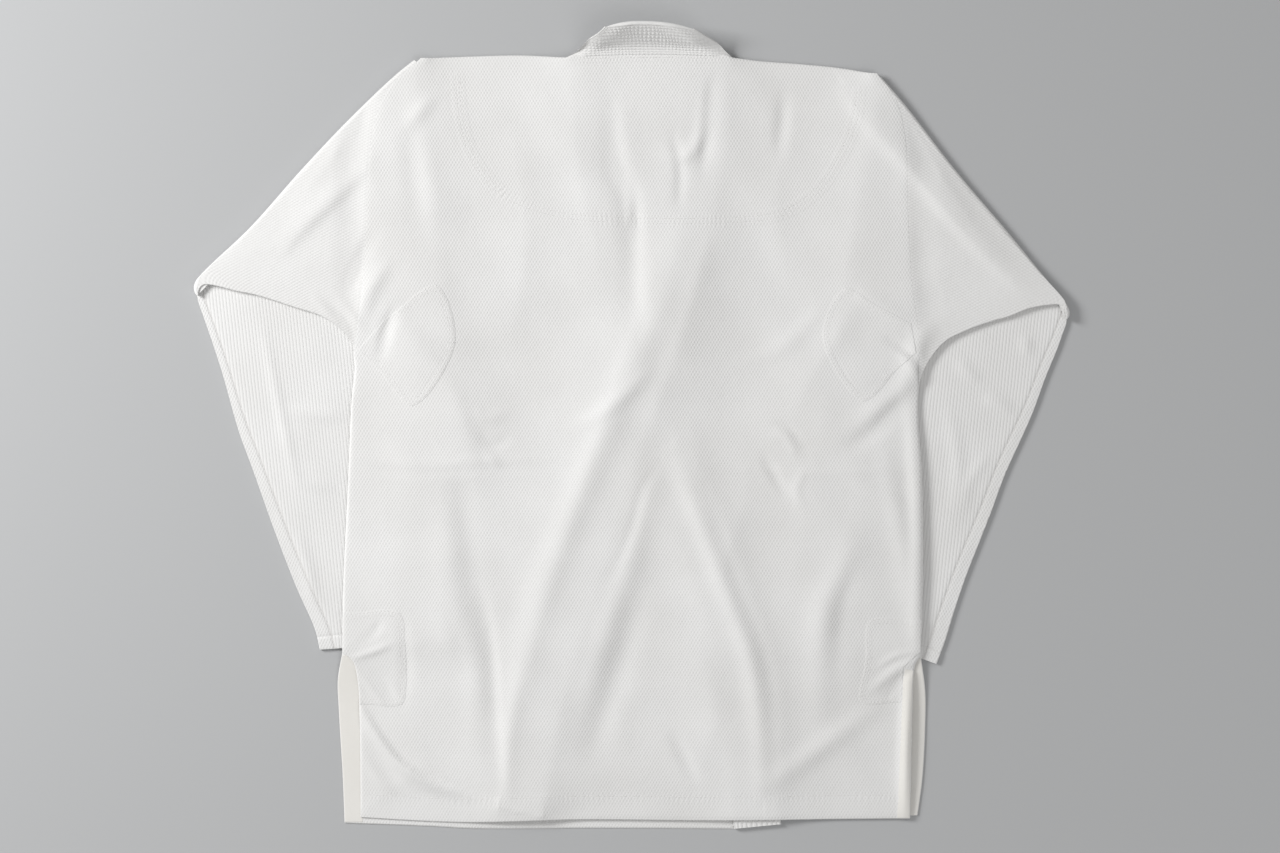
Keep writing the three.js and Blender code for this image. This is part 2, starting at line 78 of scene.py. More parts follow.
def smooth_line(places, cells=60):
    """Evenly spaced points on the centripetal Catmull-Rom line through places: each stretch is the cubic
    between two places whose slopes come from the neighbours, weighted by the roots of the distances."""
    p = np.asarray(places, float)
    p = np.vstack([2 * p[0] - p[1], p, 2 * p[-1] - p[-2]])
    gap = np.sqrt(np.linalg.norm(np.diff(p, axis=0), axis=1))[:, None]
    a, b, c, d = p[:-3], p[1:-2], p[2:-1], p[3:]
    before, here, after = gap[:-2], gap[1:-1], gap[2:]
    leave = ((b - a) / before - (c - a) / (before + here) + (c - b) / here) * here
    arrive = ((c - b) / here - (d - b) / (here + after) + (d - c) / after) * here
    t = np.linspace(0, 1, 24, endpoint=False)[:, None, None]
    points = (
        (2 * t**3 - 3 * t**2 + 1) * b + (t**3 - 2 * t**2 + t) * leave
        + (3 * t**2 - 2 * t**3) * c + (t**3 - t**2) * arrive
    )
    points = np.vstack([points.transpose(1, 0, 2).reshape(-1, p.shape[1]), p[-2]])
    return at_share(points, np.linspace(0, 1, cells + 1))


def at_share(line, share):
    """The points of a line of straight pieces at shares of its length."""
    run = np.concatenate([[0], np.cumsum(np.linalg.norm(np.diff(line, axis=0), axis=1))])
    return np.stack([np.interp(np.asarray(share) * run[-1], run, column) for column in line.T], -1)


def joined(*names):
    """Edges one after another as one line. A name that starts with - is taken from its end to its start."""
    lines = [smooth_line(EDGE[n.lstrip("-")])[:: -1 if n.startswith("-") else 1] for n in names]
    return np.vstack([lines[0]] + [line[1:] for line in lines[1:]])


def smoothstep(x, low=0.0, high=1.0):
    """0 below low and 1 above high, with an S-curve between them."""
    t = np.clip((x - low) / (high - low), 0, 1)
    return t * t * (3 - 2 * t)


def nearest(run, x, y):
    """For points: the distance to a run of straight pieces, the share of the run's length at the nearest
    place, and the side they lie on, 1 to the left of the run and -1 to its right."""
    run = np.asarray(run, float)
    pieces = np.linalg.norm(np.diff(run, axis=0), axis=1)
    starts = np.concatenate([[0], np.cumsum(pieces)])
    best, along, side = np.full(np.shape(x), np.inf), np.zeros(np.shape(x)), np.ones(np.shape(x))
    for (ax, ay), (bx, by), start, piece in zip(run[:-1], run[1:], starts, pieces):
        if piece == 0:
            continue
        dx, dy = bx - ax, by - ay
        t = np.clip(((x - ax) * dx + (y - ay) * dy) / piece**2, 0, 1)
        distance = np.hypot(x - ax - t * dx, y - ay - t * dy)
        closer = distance < best
        best = np.where(closer, distance, best)
        along = np.where(closer, (start + t * piece) / starts[-1], along)
        side = np.where(closer, np.where(dx * (y - ay) > dy * (x - ax), 1.0, -1.0), side)
    return best, along, side


def depth_in(outline, x, y):
    """How far points lie inside a closed outline, below 0 outside it: the distance to the outline, signed by
    counting how often a line to the right crosses it."""
    closed = np.vstack([outline, outline[:1]])
    crossed = np.zeros(np.shape(x), int)
    for (ax, ay), (bx, by) in zip(closed[:-1], closed[1:]):
        if ay != by:
            crossed += ((ay > y) != (by > y)) & (x < ax + (y - ay) / (by - ay) * (bx - ax))
    return np.where(crossed % 2 == 1, 1, -1) * nearest(closed, x, y)[0]


# The plan on which the layers' heights are kept, one value for each step both ways
PLAN_STEP = 4.0
plan_x = np.arange(-340, 341, PLAN_STEP)
plan_y = np.arange(-448, 425, PLAN_STEP)
PLAN = np.meshgrid(plan_x, plan_y)


def from_plan(heights, x, y):
    """Heights at any points, bilinear between the plan's values."""
    i = np.clip((x - plan_x[0]) / PLAN_STEP, 0, len(plan_x) - 1.001)
    j = np.clip((y - plan_y[0]) / PLAN_STEP, 0, len(plan_y) - 1.001)
    a, b = i.astype(int), j.astype(int)
    s, t = i - a, j - b
    return (
        heights[b, a] * (1 - s) * (1 - t) + heights[b, a + 1] * s * (1 - t)
        + heights[b + 1, a] * (1 - s) * t + heights[b + 1, a + 1] * s * t
    )


def beside(heights):
    """The mean of the four neighbours of each value of the plan."""
    wide = np.pad(heights, 1, mode="edge")
    return (wide[:-2, 1:-1] + wide[2:, 1:-1] + wide[1:-1, :-2] + wide[1:-1, 2:]) / 4


def laid_over(least, rounds=420, fall=0.0083):
    """Cloth over a plan of least heights: each value becomes the mean of its neighbours less a small fall,
    but never less than its least height, so it spans between high places and falls away from them."""
    heights = least
    for _ in range(rounds):
        heights = np.maximum(least, beside(heights) - fall)
    for _ in range(3):
        heights = (heights + beside(heights)) / 2
    return heights + 0.1


def raised(outline, height, soft=7.0):
    """A plan that is height inside an outline and eases to 0 just outside it."""
    return height * smoothstep(depth_in(outline, *PLAN), -soft, 0)


# Sleeves and lapels that lie under the panels, in outline
SLEEVES = {
    "left": {
        "side": -1, "armhole": "armhole_left", "cuff": [(-145, -222), (-326, -234)],
        "fold": [(-227, 382), (-248, 365), (-300, 315), (-347, 265), (-399, 206.5), (-440, 167.8),
                 (-450.5, 157), (-455.6, 150.5), (-457.4, 144), (-456.2, 138)],
        "underarm": [(-287, 72), (-292, 87), (-298, 95), (-310, 106), (-326, 115), (-351, 123), (-378, 132),
                     (-396, 137), (-412, 140), (-425, 143.5), (-438, 146.5), (-446, 147), (-450.5, 144.5),
                     (-452.9, 140), (-453.4, 135.1)],
        "outer": [(-453.4, 135.1), (-453.4, 130.5), (-449.8, 120), (-437, 83), (-426.5, 50), (-411, -5),
                  (-396, -46), (-374, -108), (-350, -170), (-331, -213), (-326, -234)],
    },
    "right": {
        "side": 1, "armhole": "armhole_right", "cuff": [(161, -193), (318, -249)],
        "fold": [(259, 365), (285, 335), (337.5, 267), (395, 199), (447, 134.5), (452.5, 127.6),
                 (456.3, 121.5), (456.8, 116.5), (455.6, 112.5)],
        "underarm": [(299, 42), (303, 55), (313, 73), (327, 88), (346, 98), (376, 109), (391, 113),
                     (416, 122.5), (438, 126), (446, 126), (450.5, 122.5), (452.6, 117), (452.5, 110)],
        "outer": [(452.5, 110), (453.2, 106), (450.3, 98), (444, 80), (431.5, 49.5), (419, 15), (409.5, -7),
                  (390, -50), (373, -96), (349, -157), (336.5, -194), (327, -225), (318, -249)],
    },
}
BAND = 5.0
BAND_WIDTH = 50.0
LAPELS = {
    "left": {"side": -1, "edge": "lapel_left", "lift": [(400, 0), (-430, 0)]},
    "right": {"side": 1, "edge": "lapel_right",
              "lift": [(400, 0), (215, 0), (150, BAND + GAP), (-25, BAND + GAP), (-85, 2 * LAYER),
                       (-430, 2 * LAYER)]},
}


def eased(rows, at):
    """The value at a place in rows of (place, value), listed downwards, with an S-curve between rows."""
    value = np.full(np.shape(at), float(rows[0][1]))
    for (high, a), (low, b) in zip(rows[:-1], rows[1:]):
        value = np.where(at <= high, a + (b - a) * smoothstep(high - at, 0, high - low), value)
    return value


def band_place(lapel, s, w):
    """The plan point of a lapel at s along its seam edge and w across it, and straight on above its start."""
    line = smooth_line(EDGE[lapel["edge"]], 400)
    step = np.linalg.norm(line[1] - line[0])
    way = np.gradient(line, axis=0) / step
    way /= np.linalg.norm(way, axis=1)[:, None]
    share = np.clip(s / (step * 400), 0, 1)
    at = at_share(line, share)
    along = np.stack([np.interp(share * 400, np.arange(401), column) for column in way.T], -1)
    back = np.minimum(s, 0)[..., None]
    across = np.stack([along[..., 1], -along[..., 0]], -1) * lapel["side"]
    return at + along * back + across * np.asarray(w)[..., None]


def lapel_length(lapel):
    """The length of the lapel's seam edge, which is 400 equal steps."""
    line = smooth_line(EDGE[lapel["edge"]], 400)
    return np.linalg.norm(line[1] - line[0]) * 400


def lapel_outline(lapel):
    """The lapel in plan: its seam edge, and back along the edge one band's width away."""
    s = np.linspace(0, lapel_length(lapel), 40)
    return np.vstack([band_place(lapel, s, s * 0), band_place(lapel, s[::-1], s * 0 + BAND_WIDTH)])


FOLD_ROOM = 1.0
OVER_FOREARM = 2 * CLOTH + GAP + FOLD_ROOM
forearms = np.maximum(*[
    raised(np.vstack([sleeve["fold"], sleeve["cuff"][::-1]]), OVER_FOREARM) for sleeve in SLEEVES.values()
])
OUTLINES = {
    "front_left": joined("lapel_left", "-hem_front_left", "-vent_front_left", "-side_left", "-armhole_left",
                         "shoulder_left"),
    "front_right": joined("shoulder_right", "armhole_right", "side_right", "vent_front_right",
                          "hem_front_right", "-lapel_right"),
    "back": joined("neck", "shoulder_right", "armhole_right", "side_right", "vent_back_right", "-hem_back",
                   "-vent_back_left", "-side_left", "-armhole_left", "shoulder_left"),
}
left_top, right_top = [
    (eased(lapel["lift"], PLAN[1]) + BAND + GAP) * smoothstep(depth_in(lapel_outline(lapel), *PLAN), -5, 0)
    for lapel in LAPELS.values()
]

# Low creases in the fronts, each with its height and width, which the floor and the back press flat
FRONT_CREASES = {
    "front_left": [
        (1.8, 10, [(-250, 120), (-190, 40), (-150, -60)]), (1.5, 9, [(-120, 300), (-110, 200), (-125, 90)]),
        (1.9, 12, [(-205, -120), (-190, -230), (-150, -330)]), (1.6, 9, [(-60, 60), (-95, -40), (-90, -140)]),
        (1.7, 10, [(10, -160), (-20, -250), (-10, -350)]), (1.4, 8, [(-255, -20), (-215, -50), (-170, -52)]),
    ],
    "front_right": [
        (1.7, 10, [(240, 130), (180, 40), (150, -50)]), (1.5, 9, [(160, 300), (150, 220), (170, 120)]),
        (1.8, 12, [(230, -100), (200, -210), (215, -330)]), (1.5, 9, [(100, 40), (120, -60), (90, -160)]),
        (1.6, 10, [(60, -220), (85, -300), (60, -380)]),
    ],
}


def creased(creases, x, y):
    """The sum of round ridges and troughs (height, width, run): each falls off as exp(-(distance/width)^2) to
    both sides and dies away at its ends as the root of half a sine. A width may differ from side to side."""
    total = np.zeros(np.shape(x))
    for height, width, run in creases:
        left, right = width if isinstance(width, tuple) else (width, width)
        distance, along, side = nearest(smooth_line(run, 16), x, y)
        ends = np.sin(np.pi * (0.03 + 0.94 * along)) ** 0.7
        total += height * ends * np.exp(-((distance / np.where(side > 0, left, right)) ** 2))
    return total


def uneven(x, y, seed, size, waves=14):
    """Slow unevenness of hand-laid cloth: waves of 45 to 160 mm in seeded directions, each a sine."""
    draw = np.random.default_rng(seed)
    total = np.zeros(np.shape(x))
    for _ in range(waves):
        heading, turn = draw.uniform(0, math.pi), draw.uniform(0, 2 * math.pi)
        length = draw.uniform(45, 160)
        total += np.sin((x * math.cos(heading) + y * math.sin(heading)) * 2 * math.pi / length + turn)
    return total * size / math.sqrt(waves)


under_left = laid_over(forearms) + creased(FRONT_CREASES["front_left"], *PLAN)
on_left = (under_left + LAYER) * smoothstep(depth_in(OUTLINES["front_left"], *PLAN), -6, 0)
under_right = laid_over(np.maximum.reduce([forearms, on_left, left_top]))
under_right = under_right + creased(FRONT_CREASES["front_right"], *PLAN)
on_right = (under_right + LAYER) * smoothstep(depth_in(OUTLINES["front_right"], *PLAN), -6, 0)


def four_sided(bottom, top, left, right, u, v):
    """A sheet between four edges: the blend of left and right by u and of bottom and top by v, less the
    bilinear blend of its corners."""
    b, t = at_share(bottom, u)[None], at_share(top, u)[None]
    l, r = at_share(left, v)[:, None], at_share(right, v)[:, None]
    u, v = u[None, :, None], v[:, None, None]
    corners = (
        (1 - u) * (1 - v) * bottom[0] + u * (1 - v) * bottom[-1] + (1 - u) * v * top[0] + u * v * top[-1]
    )
    return (1 - v) * b + v * t + (1 - u) * l + u * r - corners


def shares(length, step=GRID_STEP, rim=(0.6, 1.4, 2.6)):
    """Even shares of a length, with closer ones next to both ends, where the cloth's edge is rounded."""
    rim = np.array(rim) / length
    inner = np.linspace(rim[-1], 1 - rim[-1], max(2, round(length / step)))
    return np.concatenate([[0], rim[:-1], inner, 1 - rim[-2::-1], [1]])


def length_of(line):
    """The sum of the distances between a line's points."""
    return np.linalg.norm(np.diff(line, axis=0), axis=1).sum()


def made(name, points, faces, uv=None, sharp=50):
    """A mesh object from points in millimetres and lists of corners, with a UV for each point in metres."""
    mesh = bpy.data.meshes.new(name)
    mesh.from_pydata((np.asarray(points).reshape(-1, 3) * MM).tolist(), [], faces)
    if uv is not None:
        corner = np.empty(len(mesh.loops), np.int32)
        mesh.loops.foreach_get("vertex_index", corner)
        mesh.uv_layers.new(name="cloth").data.foreach_set("uv", (uv.reshape(-1, 2)[corner] * MM).ravel())
    mesh.shade_smooth()
    mesh.set_sharp_from_angle(angle=math.radians(sharp))
    piece = bpy.data.objects.new(name, mesh)
    bpy.context.scene.collection.objects.link(piece)
    return piece


def wall(top, thickness, bulge=0.4, bottom=None):
    """Points and faces of a closed wall of cloth: the grid of its top, the same grid one thickness lower, and
    a rim half way down between them that stands out a little, so that the cut edge is round."""
    rows, columns = top.shape[:2]
    index = np.arange(rows * columns).reshape(rows, columns)
    ring = np.concatenate([index[0, :-1], index[:-1, -1], index[-1, :0:-1], index[:0:-1, 0]])
    inner = index[1:-1, 1:-1]
    inner = np.pad(inner, 1, mode="edge").ravel()[ring]
    flat = top.reshape(-1, 3)
    below = flat - [0, 0, thickness] if bottom is None else bottom.reshape(-1, 3)
    out = flat[ring] - flat[inner]
    out[:, 2] = 0
    out /= np.maximum(np.linalg.norm(out, axis=1), 1e-6)[:, None]
    middle = (flat[ring] + below[ring]) / 2 + out * bulge
    a, b, c, d = index[:-1, :-1], index[:-1, 1:], index[1:, 1:], index[1:, :-1]
    upper = np.stack([a, b, c, d], -1).reshape(-1, 4)
    lower = np.stack([a, d, c, b], -1).reshape(-1, 4) + rows * columns
    first = 2 * rows * columns + np.arange(len(ring))
    following = np.roll(np.arange(len(ring)), -1)
    high = np.stack([ring, first, first[following], ring[following]], -1)
    low = np.stack([first, ring + rows * columns, ring[following] + rows * columns, first[following]], -1)
    return np.vstack([flat, below, middle]), np.vstack([upper, lower, high, low]).tolist()


def rounded(edge, reach, depth):
    """How far a cloth's top lies below its full height near its edge: a quarter of an ellipse."""
    return depth * (1 - np.sqrt(1 - (1 - np.clip(edge / reach, 0, 1)) ** 2))


def panel(name, bottom, top, left, right, underside, step=GRID_STEP, lap=0.0):
    """A panel of the jacket: the sheet between its four edges, at the heights of its underside, with its top
    rounded off over the last millimetres. Along the armhole it may lap over the sleeve as a thin lip."""
    wide, long = length_of(bottom), length_of(left)
    u, v = shares(wide, step), shares(long, step)
    plan = four_sided(bottom, top, left, right, u, v)
    x, y = plan[..., 0], plan[..., 1]
    sideways = np.minimum(u, 1 - u)[None] * wide
    edge = np.minimum(sideways, np.minimum(v, 1 - v)[:, None] * long)
    lapping = smoothstep(y, 55, 80) * (1 - smoothstep(sideways, 4, 12)) * np.sign(lap)
    x = x + np.sign(x) * lap * lapping * (1 - smoothstep(sideways, 0, 4.5))
    low = underside(x, y)
    high = low + CLOTH - rounded(edge, 2.6, 0.9 - 0.87 * lapping)
    low = low + (high - low - 0.1) * lapping * (1 - smoothstep(sideways, 1.2, 4))
    points, faces = wall(np.stack([x, y, high], -1), CLOTH, bottom=np.stack([x, y, low], -1))
    return made(name, points, faces)


def add_node(tree, kind, inputs=(), **settings):
    """Adds a shader node, sets its settings, and links or sets its inputs by place or name."""
    new = tree.nodes.new(kind)
    for key, value in settings.items():
        setattr(new, key, value)
    for slot, value in inputs.items() if isinstance(inputs, dict) else enumerate(inputs):
        if isinstance(value, bpy.types.NodeSocket):
            tree.links.new(value, new.inputs[slot])
        elif value is not None:
            new.inputs[slot].default_value = value
    return new


def maths(tree, operation, *inputs):
    """One Math node's result."""
    return add_node(tree, "ShaderNodeMath", inputs, operation=operation).outputs[0]


def node_group(name, inputs, outputs):
    """An empty shader node group with named float or vector inputs and outputs, and its two end nodes."""
    tree = bpy.data.node_groups.new(name, "ShaderNodeTree")
    for label, kind, value in inputs:
        socket = tree.interface.new_socket(label, in_out="INPUT", socket_type=kind)
        if value is not None:
            socket.default_value = value
    for label, kind in outputs:
        tree.interface.new_socket(label, in_out="OUTPUT", socket_type=kind)
    return tree, tree.nodes.new("NodeGroupInput").outputs, tree.nodes.new("NodeGroupOutput").inputs


def strayed(tree, given, scale):
    """The coordinates of Place moved by noise: less than half of Uneven each way, as threads stray."""
    noise = add_node(tree, "ShaderNodeTexNoise", {"Vector": given["Place"], "Scale": scale, "Detail": 1.0})
    half = (0.5, 0.5, 0.5)
    centred = add_node(tree, "ShaderNodeVectorMath", [noise.outputs["Color"], half], operation="SUBTRACT")
    shift = add_node(
        tree, "ShaderNodeVectorMath", {0: centred.outputs[0], "Scale": given["Uneven"]}, operation="SCALE")
    moved = add_node(tree, "ShaderNodeVectorMath", [given["Place"], shift.outputs[0]], operation="ADD")
    return add_node(tree, "ShaderNodeSeparateXYZ", [moved.outputs[0]]).outputs


def pearl_weave_group():
    """Staggered grains: the product of a cosine across and a cosine along peaks at every other crossing, so
    that each grain lies beside the gap between two others. Place is in metres, and sizes are too."""
    tree, given, result = node_group(
        "pearl_weave",
        [("Place", "NodeSocketVector", None), ("Column", "NodeSocketFloat", 0.0033),
         ("Row", "NodeSocketFloat", 0.0056), ("Uneven", "NodeSocketFloat", 0.0011)],
        [("Height", "NodeSocketFloat"), ("Gap shade mask", "NodeSocketFloat")],
    )
    xyz = strayed(tree, given, 60.0)
    turns = [maths(tree, "DIVIDE", xyz[0], given["Column"]), maths(tree, "DIVIDE", xyz[1], given["Row"])]
    waves = [maths(tree, "COSINE", maths(tree, "MULTIPLY", turn, 2 * math.pi)) for turn in turns]
    both = maths(tree, "MULTIPLY_ADD", maths(tree, "MULTIPLY", *waves), 0.5, 0.5)
    worn = add_node(tree, "ShaderNodeTexNoise", {"Vector": given["Place"], "Scale": 130.0, "Detail": 2.0})
    round_grain, wear = maths(tree, "POWER", both, 0.65), maths(tree, "ADD", worn.outputs[0], 0.45)
    grain = maths(tree, "MULTIPLY", round_grain, wear)
    tree.links.new(grain, result["Height"])
    # Where the tone group paints shade, between the grains
    tree.links.new(maths(tree, "POWER", maths(tree, "SUBTRACT", 1.0, both), 3.0), result["Gap shade mask"])
    return tree


def rib_group():
    """Ribs along the second coordinate: the size of a cosine across gives one round rib for each pitch, and
    a slow cosine along breaks each rib into long grains."""
    tree, given, result = node_group(
        "sleeve_ribs",
        [("Place", "NodeSocketVector", None), ("Pitch", "NodeSocketFloat", 0.0034),
         ("Grain", "NodeSocketFloat", 0.006), ("Uneven", "NodeSocketFloat", 0.0006)],
        [("Height", "NodeSocketFloat"), ("Gap shade mask", "NodeSocketFloat")],
    )
    xyz = strayed(tree, given, 45.0)
    across = maths(tree, "MULTIPLY", maths(tree, "DIVIDE", xyz[0], given["Pitch"]), math.pi)
    rib = maths(tree, "ABSOLUTE", maths(tree, "COSINE", across))
    along = maths(tree, "MULTIPLY", maths(tree, "DIVIDE", xyz[1], given["Grain"]), 2 * math.pi)
    grain = maths(tree, "MULTIPLY_ADD", maths(tree, "COSINE", maths(tree, "ADD", along, across)), 0.12, 0.88)
    tree.links.new(maths(tree, "MULTIPLY", maths(tree, "POWER", rib, 0.6), grain), result["Height"])
    # Where the tone group paints shade, between the ribs
    tree.links.new(maths(tree, "POWER", maths(tree, "SUBTRACT", 1.0, rib), 3.0), result["Gap shade mask"])
    return tree


# The colour of the painted shade in the gaps of the weave
PAINTED_GAP_SHADE = (0.45, 0.43, 0.41, 1)


def cotton_tone_and_shade_group():
    """The cloth's colour: slow clouds between a fresh and a worn white, with painted shade in the gaps: a
    darker tone where the weave dips.
    """
    mix = "ShaderNodeMix"
    tree, given, result = node_group(
        "cotton_tone_and_gap_shade",
        [("Place", "NodeSocketVector", None), ("Gap shade mask", "NodeSocketFloat", 0.0),
         ("Fresh", "NodeSocketColor", (0.8, 0.797, 0.79, 1)),
         ("Worn", "NodeSocketColor", (0.75, 0.744, 0.732, 1)),
         ("Painted gap shade", "NodeSocketFloat", 0.25)],
        [("Color", "NodeSocketColor"), ("Roughness", "NodeSocketFloat")],
    )
    cloud = add_node(tree, "ShaderNodeTexNoise", {"Vector": given["Place"], "Scale": 9.0, "Detail": 4.0})
    clouds = {"Value": cloud.outputs[0], "From Min": 0.3, "From Max": 0.75}
    ramp = add_node(tree, "ShaderNodeMapRange", clouds)
    tone = add_node(tree, mix, {0: ramp.outputs[0], 6: given["Fresh"], 7: given["Worn"]}, data_type="RGBA")
    fibre = add_node(tree, "ShaderNodeTexNoise", {"Vector": given["Place"], "Scale": 900.0, "Detail": 2.0})
    # Painted shade: the gaps darken towards the gap colour by the given amount, with a little fibre noise as
    # random tone
    dark = maths(tree, "MULTIPLY", given["Gap shade mask"], given["Painted gap shade"])
    dark = maths(tree, "MULTIPLY_ADD", fibre.outputs[0], 0.05, dark)
    shade = add_node(tree, mix, {0: dark, 6: tone.outputs[2], 7: PAINTED_GAP_SHADE}, data_type="RGBA")
    tree.links.new(shade.outputs[2], result["Color"])
    tree.links.new(maths(tree, "MULTIPLY_ADD", fibre.outputs[0], 0.12, 0.82), result["Roughness"])
    return tree


PEARL_WEAVE, RIBS, COTTON_TONE_AND_SHADE = pearl_weave_group(), rib_group(), cotton_tone_and_shade_group()


def cotton(name, weave, coordinates="Object", tone=None, sizes=None, relief=0.5, sheen=0.25):
    """A cotton finish: the tone group colours it and paints shade in the gaps, and the weave group raises it
    by relief in millimetres.
    """
    material = bpy.data.materials.new(name)
    material.use_nodes = True
    tree = material.node_tree
    shader = tree.nodes["Principled BSDF"]
    place = add_node(tree, "ShaderNodeTexCoord").outputs[coordinates]
    woven = add_node(tree, "ShaderNodeGroup", {}, node_tree=weave)
    tree.links.new(place, woven.inputs["Place"])
    for key, value in (sizes or {}).items():
        woven.inputs[key].default_value = value
    toned = add_node(tree, "ShaderNodeGroup", {}, node_tree=COTTON_TONE_AND_SHADE)
    tree.links.new(place, toned.inputs["Place"])
    tree.links.new(woven.outputs["Gap shade mask"], toned.inputs["Gap shade mask"])
    for key, value in (tone or {}).items():
        toned.inputs[key].default_value = value
    bump = add_node(tree, "ShaderNodeBump", {"Distance": relief * MM, "Height": woven.outputs["Height"]})
    tree.links.new(toned.outputs["Color"], shader.inputs["Base Color"])
    tree.links.new(toned.outputs["Roughness"], shader.inputs["Roughness"])
    tree.links.new(bump.outputs[0], shader.inputs["Normal"])
    shader.inputs["Sheen Weight"].default_value = sheen
    shader.inputs["Specular IOR Level"].default_value = 0.25
    return material


# Its tone paints shade into the gaps between the grains
PEARL_CLOTH = cotton("pearl_cloth", PEARL_WEAVE, relief=0.26, tone={"Painted gap shade": 0.14})


def finished(piece, material, slot, *nodes):
    """Gives a piece its material and its place on the frame. Its slot is not used."""
    piece.data.materials.append(material)
    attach(piece, "root")
    if nodes:
        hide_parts(*nodes)
    return piece


front_left = finished(panel(
    "front_left_cloth", joined("hem_front_left"), joined("shoulder_left"),
    joined("-vent_front_left", "-side_left", "-armhole_left"), joined("-lapel_left"),
    lambda x, y: from_plan(under_left, x, y),
), PEARL_CLOTH, "pearl_weave", "front_left")
front_right = finished(panel(
    "front_right_cloth", joined("-hem_front_right"), joined("shoulder_right"),
    joined("-lapel_right"), joined("-vent_front_right", "-side_right", "-armhole_right"),
    lambda x, y: from_plan(under_right, x, y),
), PEARL_CLOTH, "pearl_weave", "front_right")

# The back: one piece of the same pearl weave with no seam down the middle. It lies over everything else,
# spans from lapel to lapel and carries the creases of cloth that was folded and laid out by hand.
BACK_LOFT = 2.6
BACK_LOFT_MARGIN = 70
SLEEVE_TURN = 2 * CLOTH + GAP + FOLD_ROOM / 2
SLEEVE_SEAT = 2 * SLEEVE_TURN - CLOTH + 0.15
NECK = {"left": -67, "right": 104, "line": 384.5, "arch": 3, "bend": 18, "tilt": 0.93, "steeper": 0.55}
BAND_TURN = BAND + 0.5
NECK_SEAT = BAND_TURN + 0.5 + (BAND - CLOTH) / 2

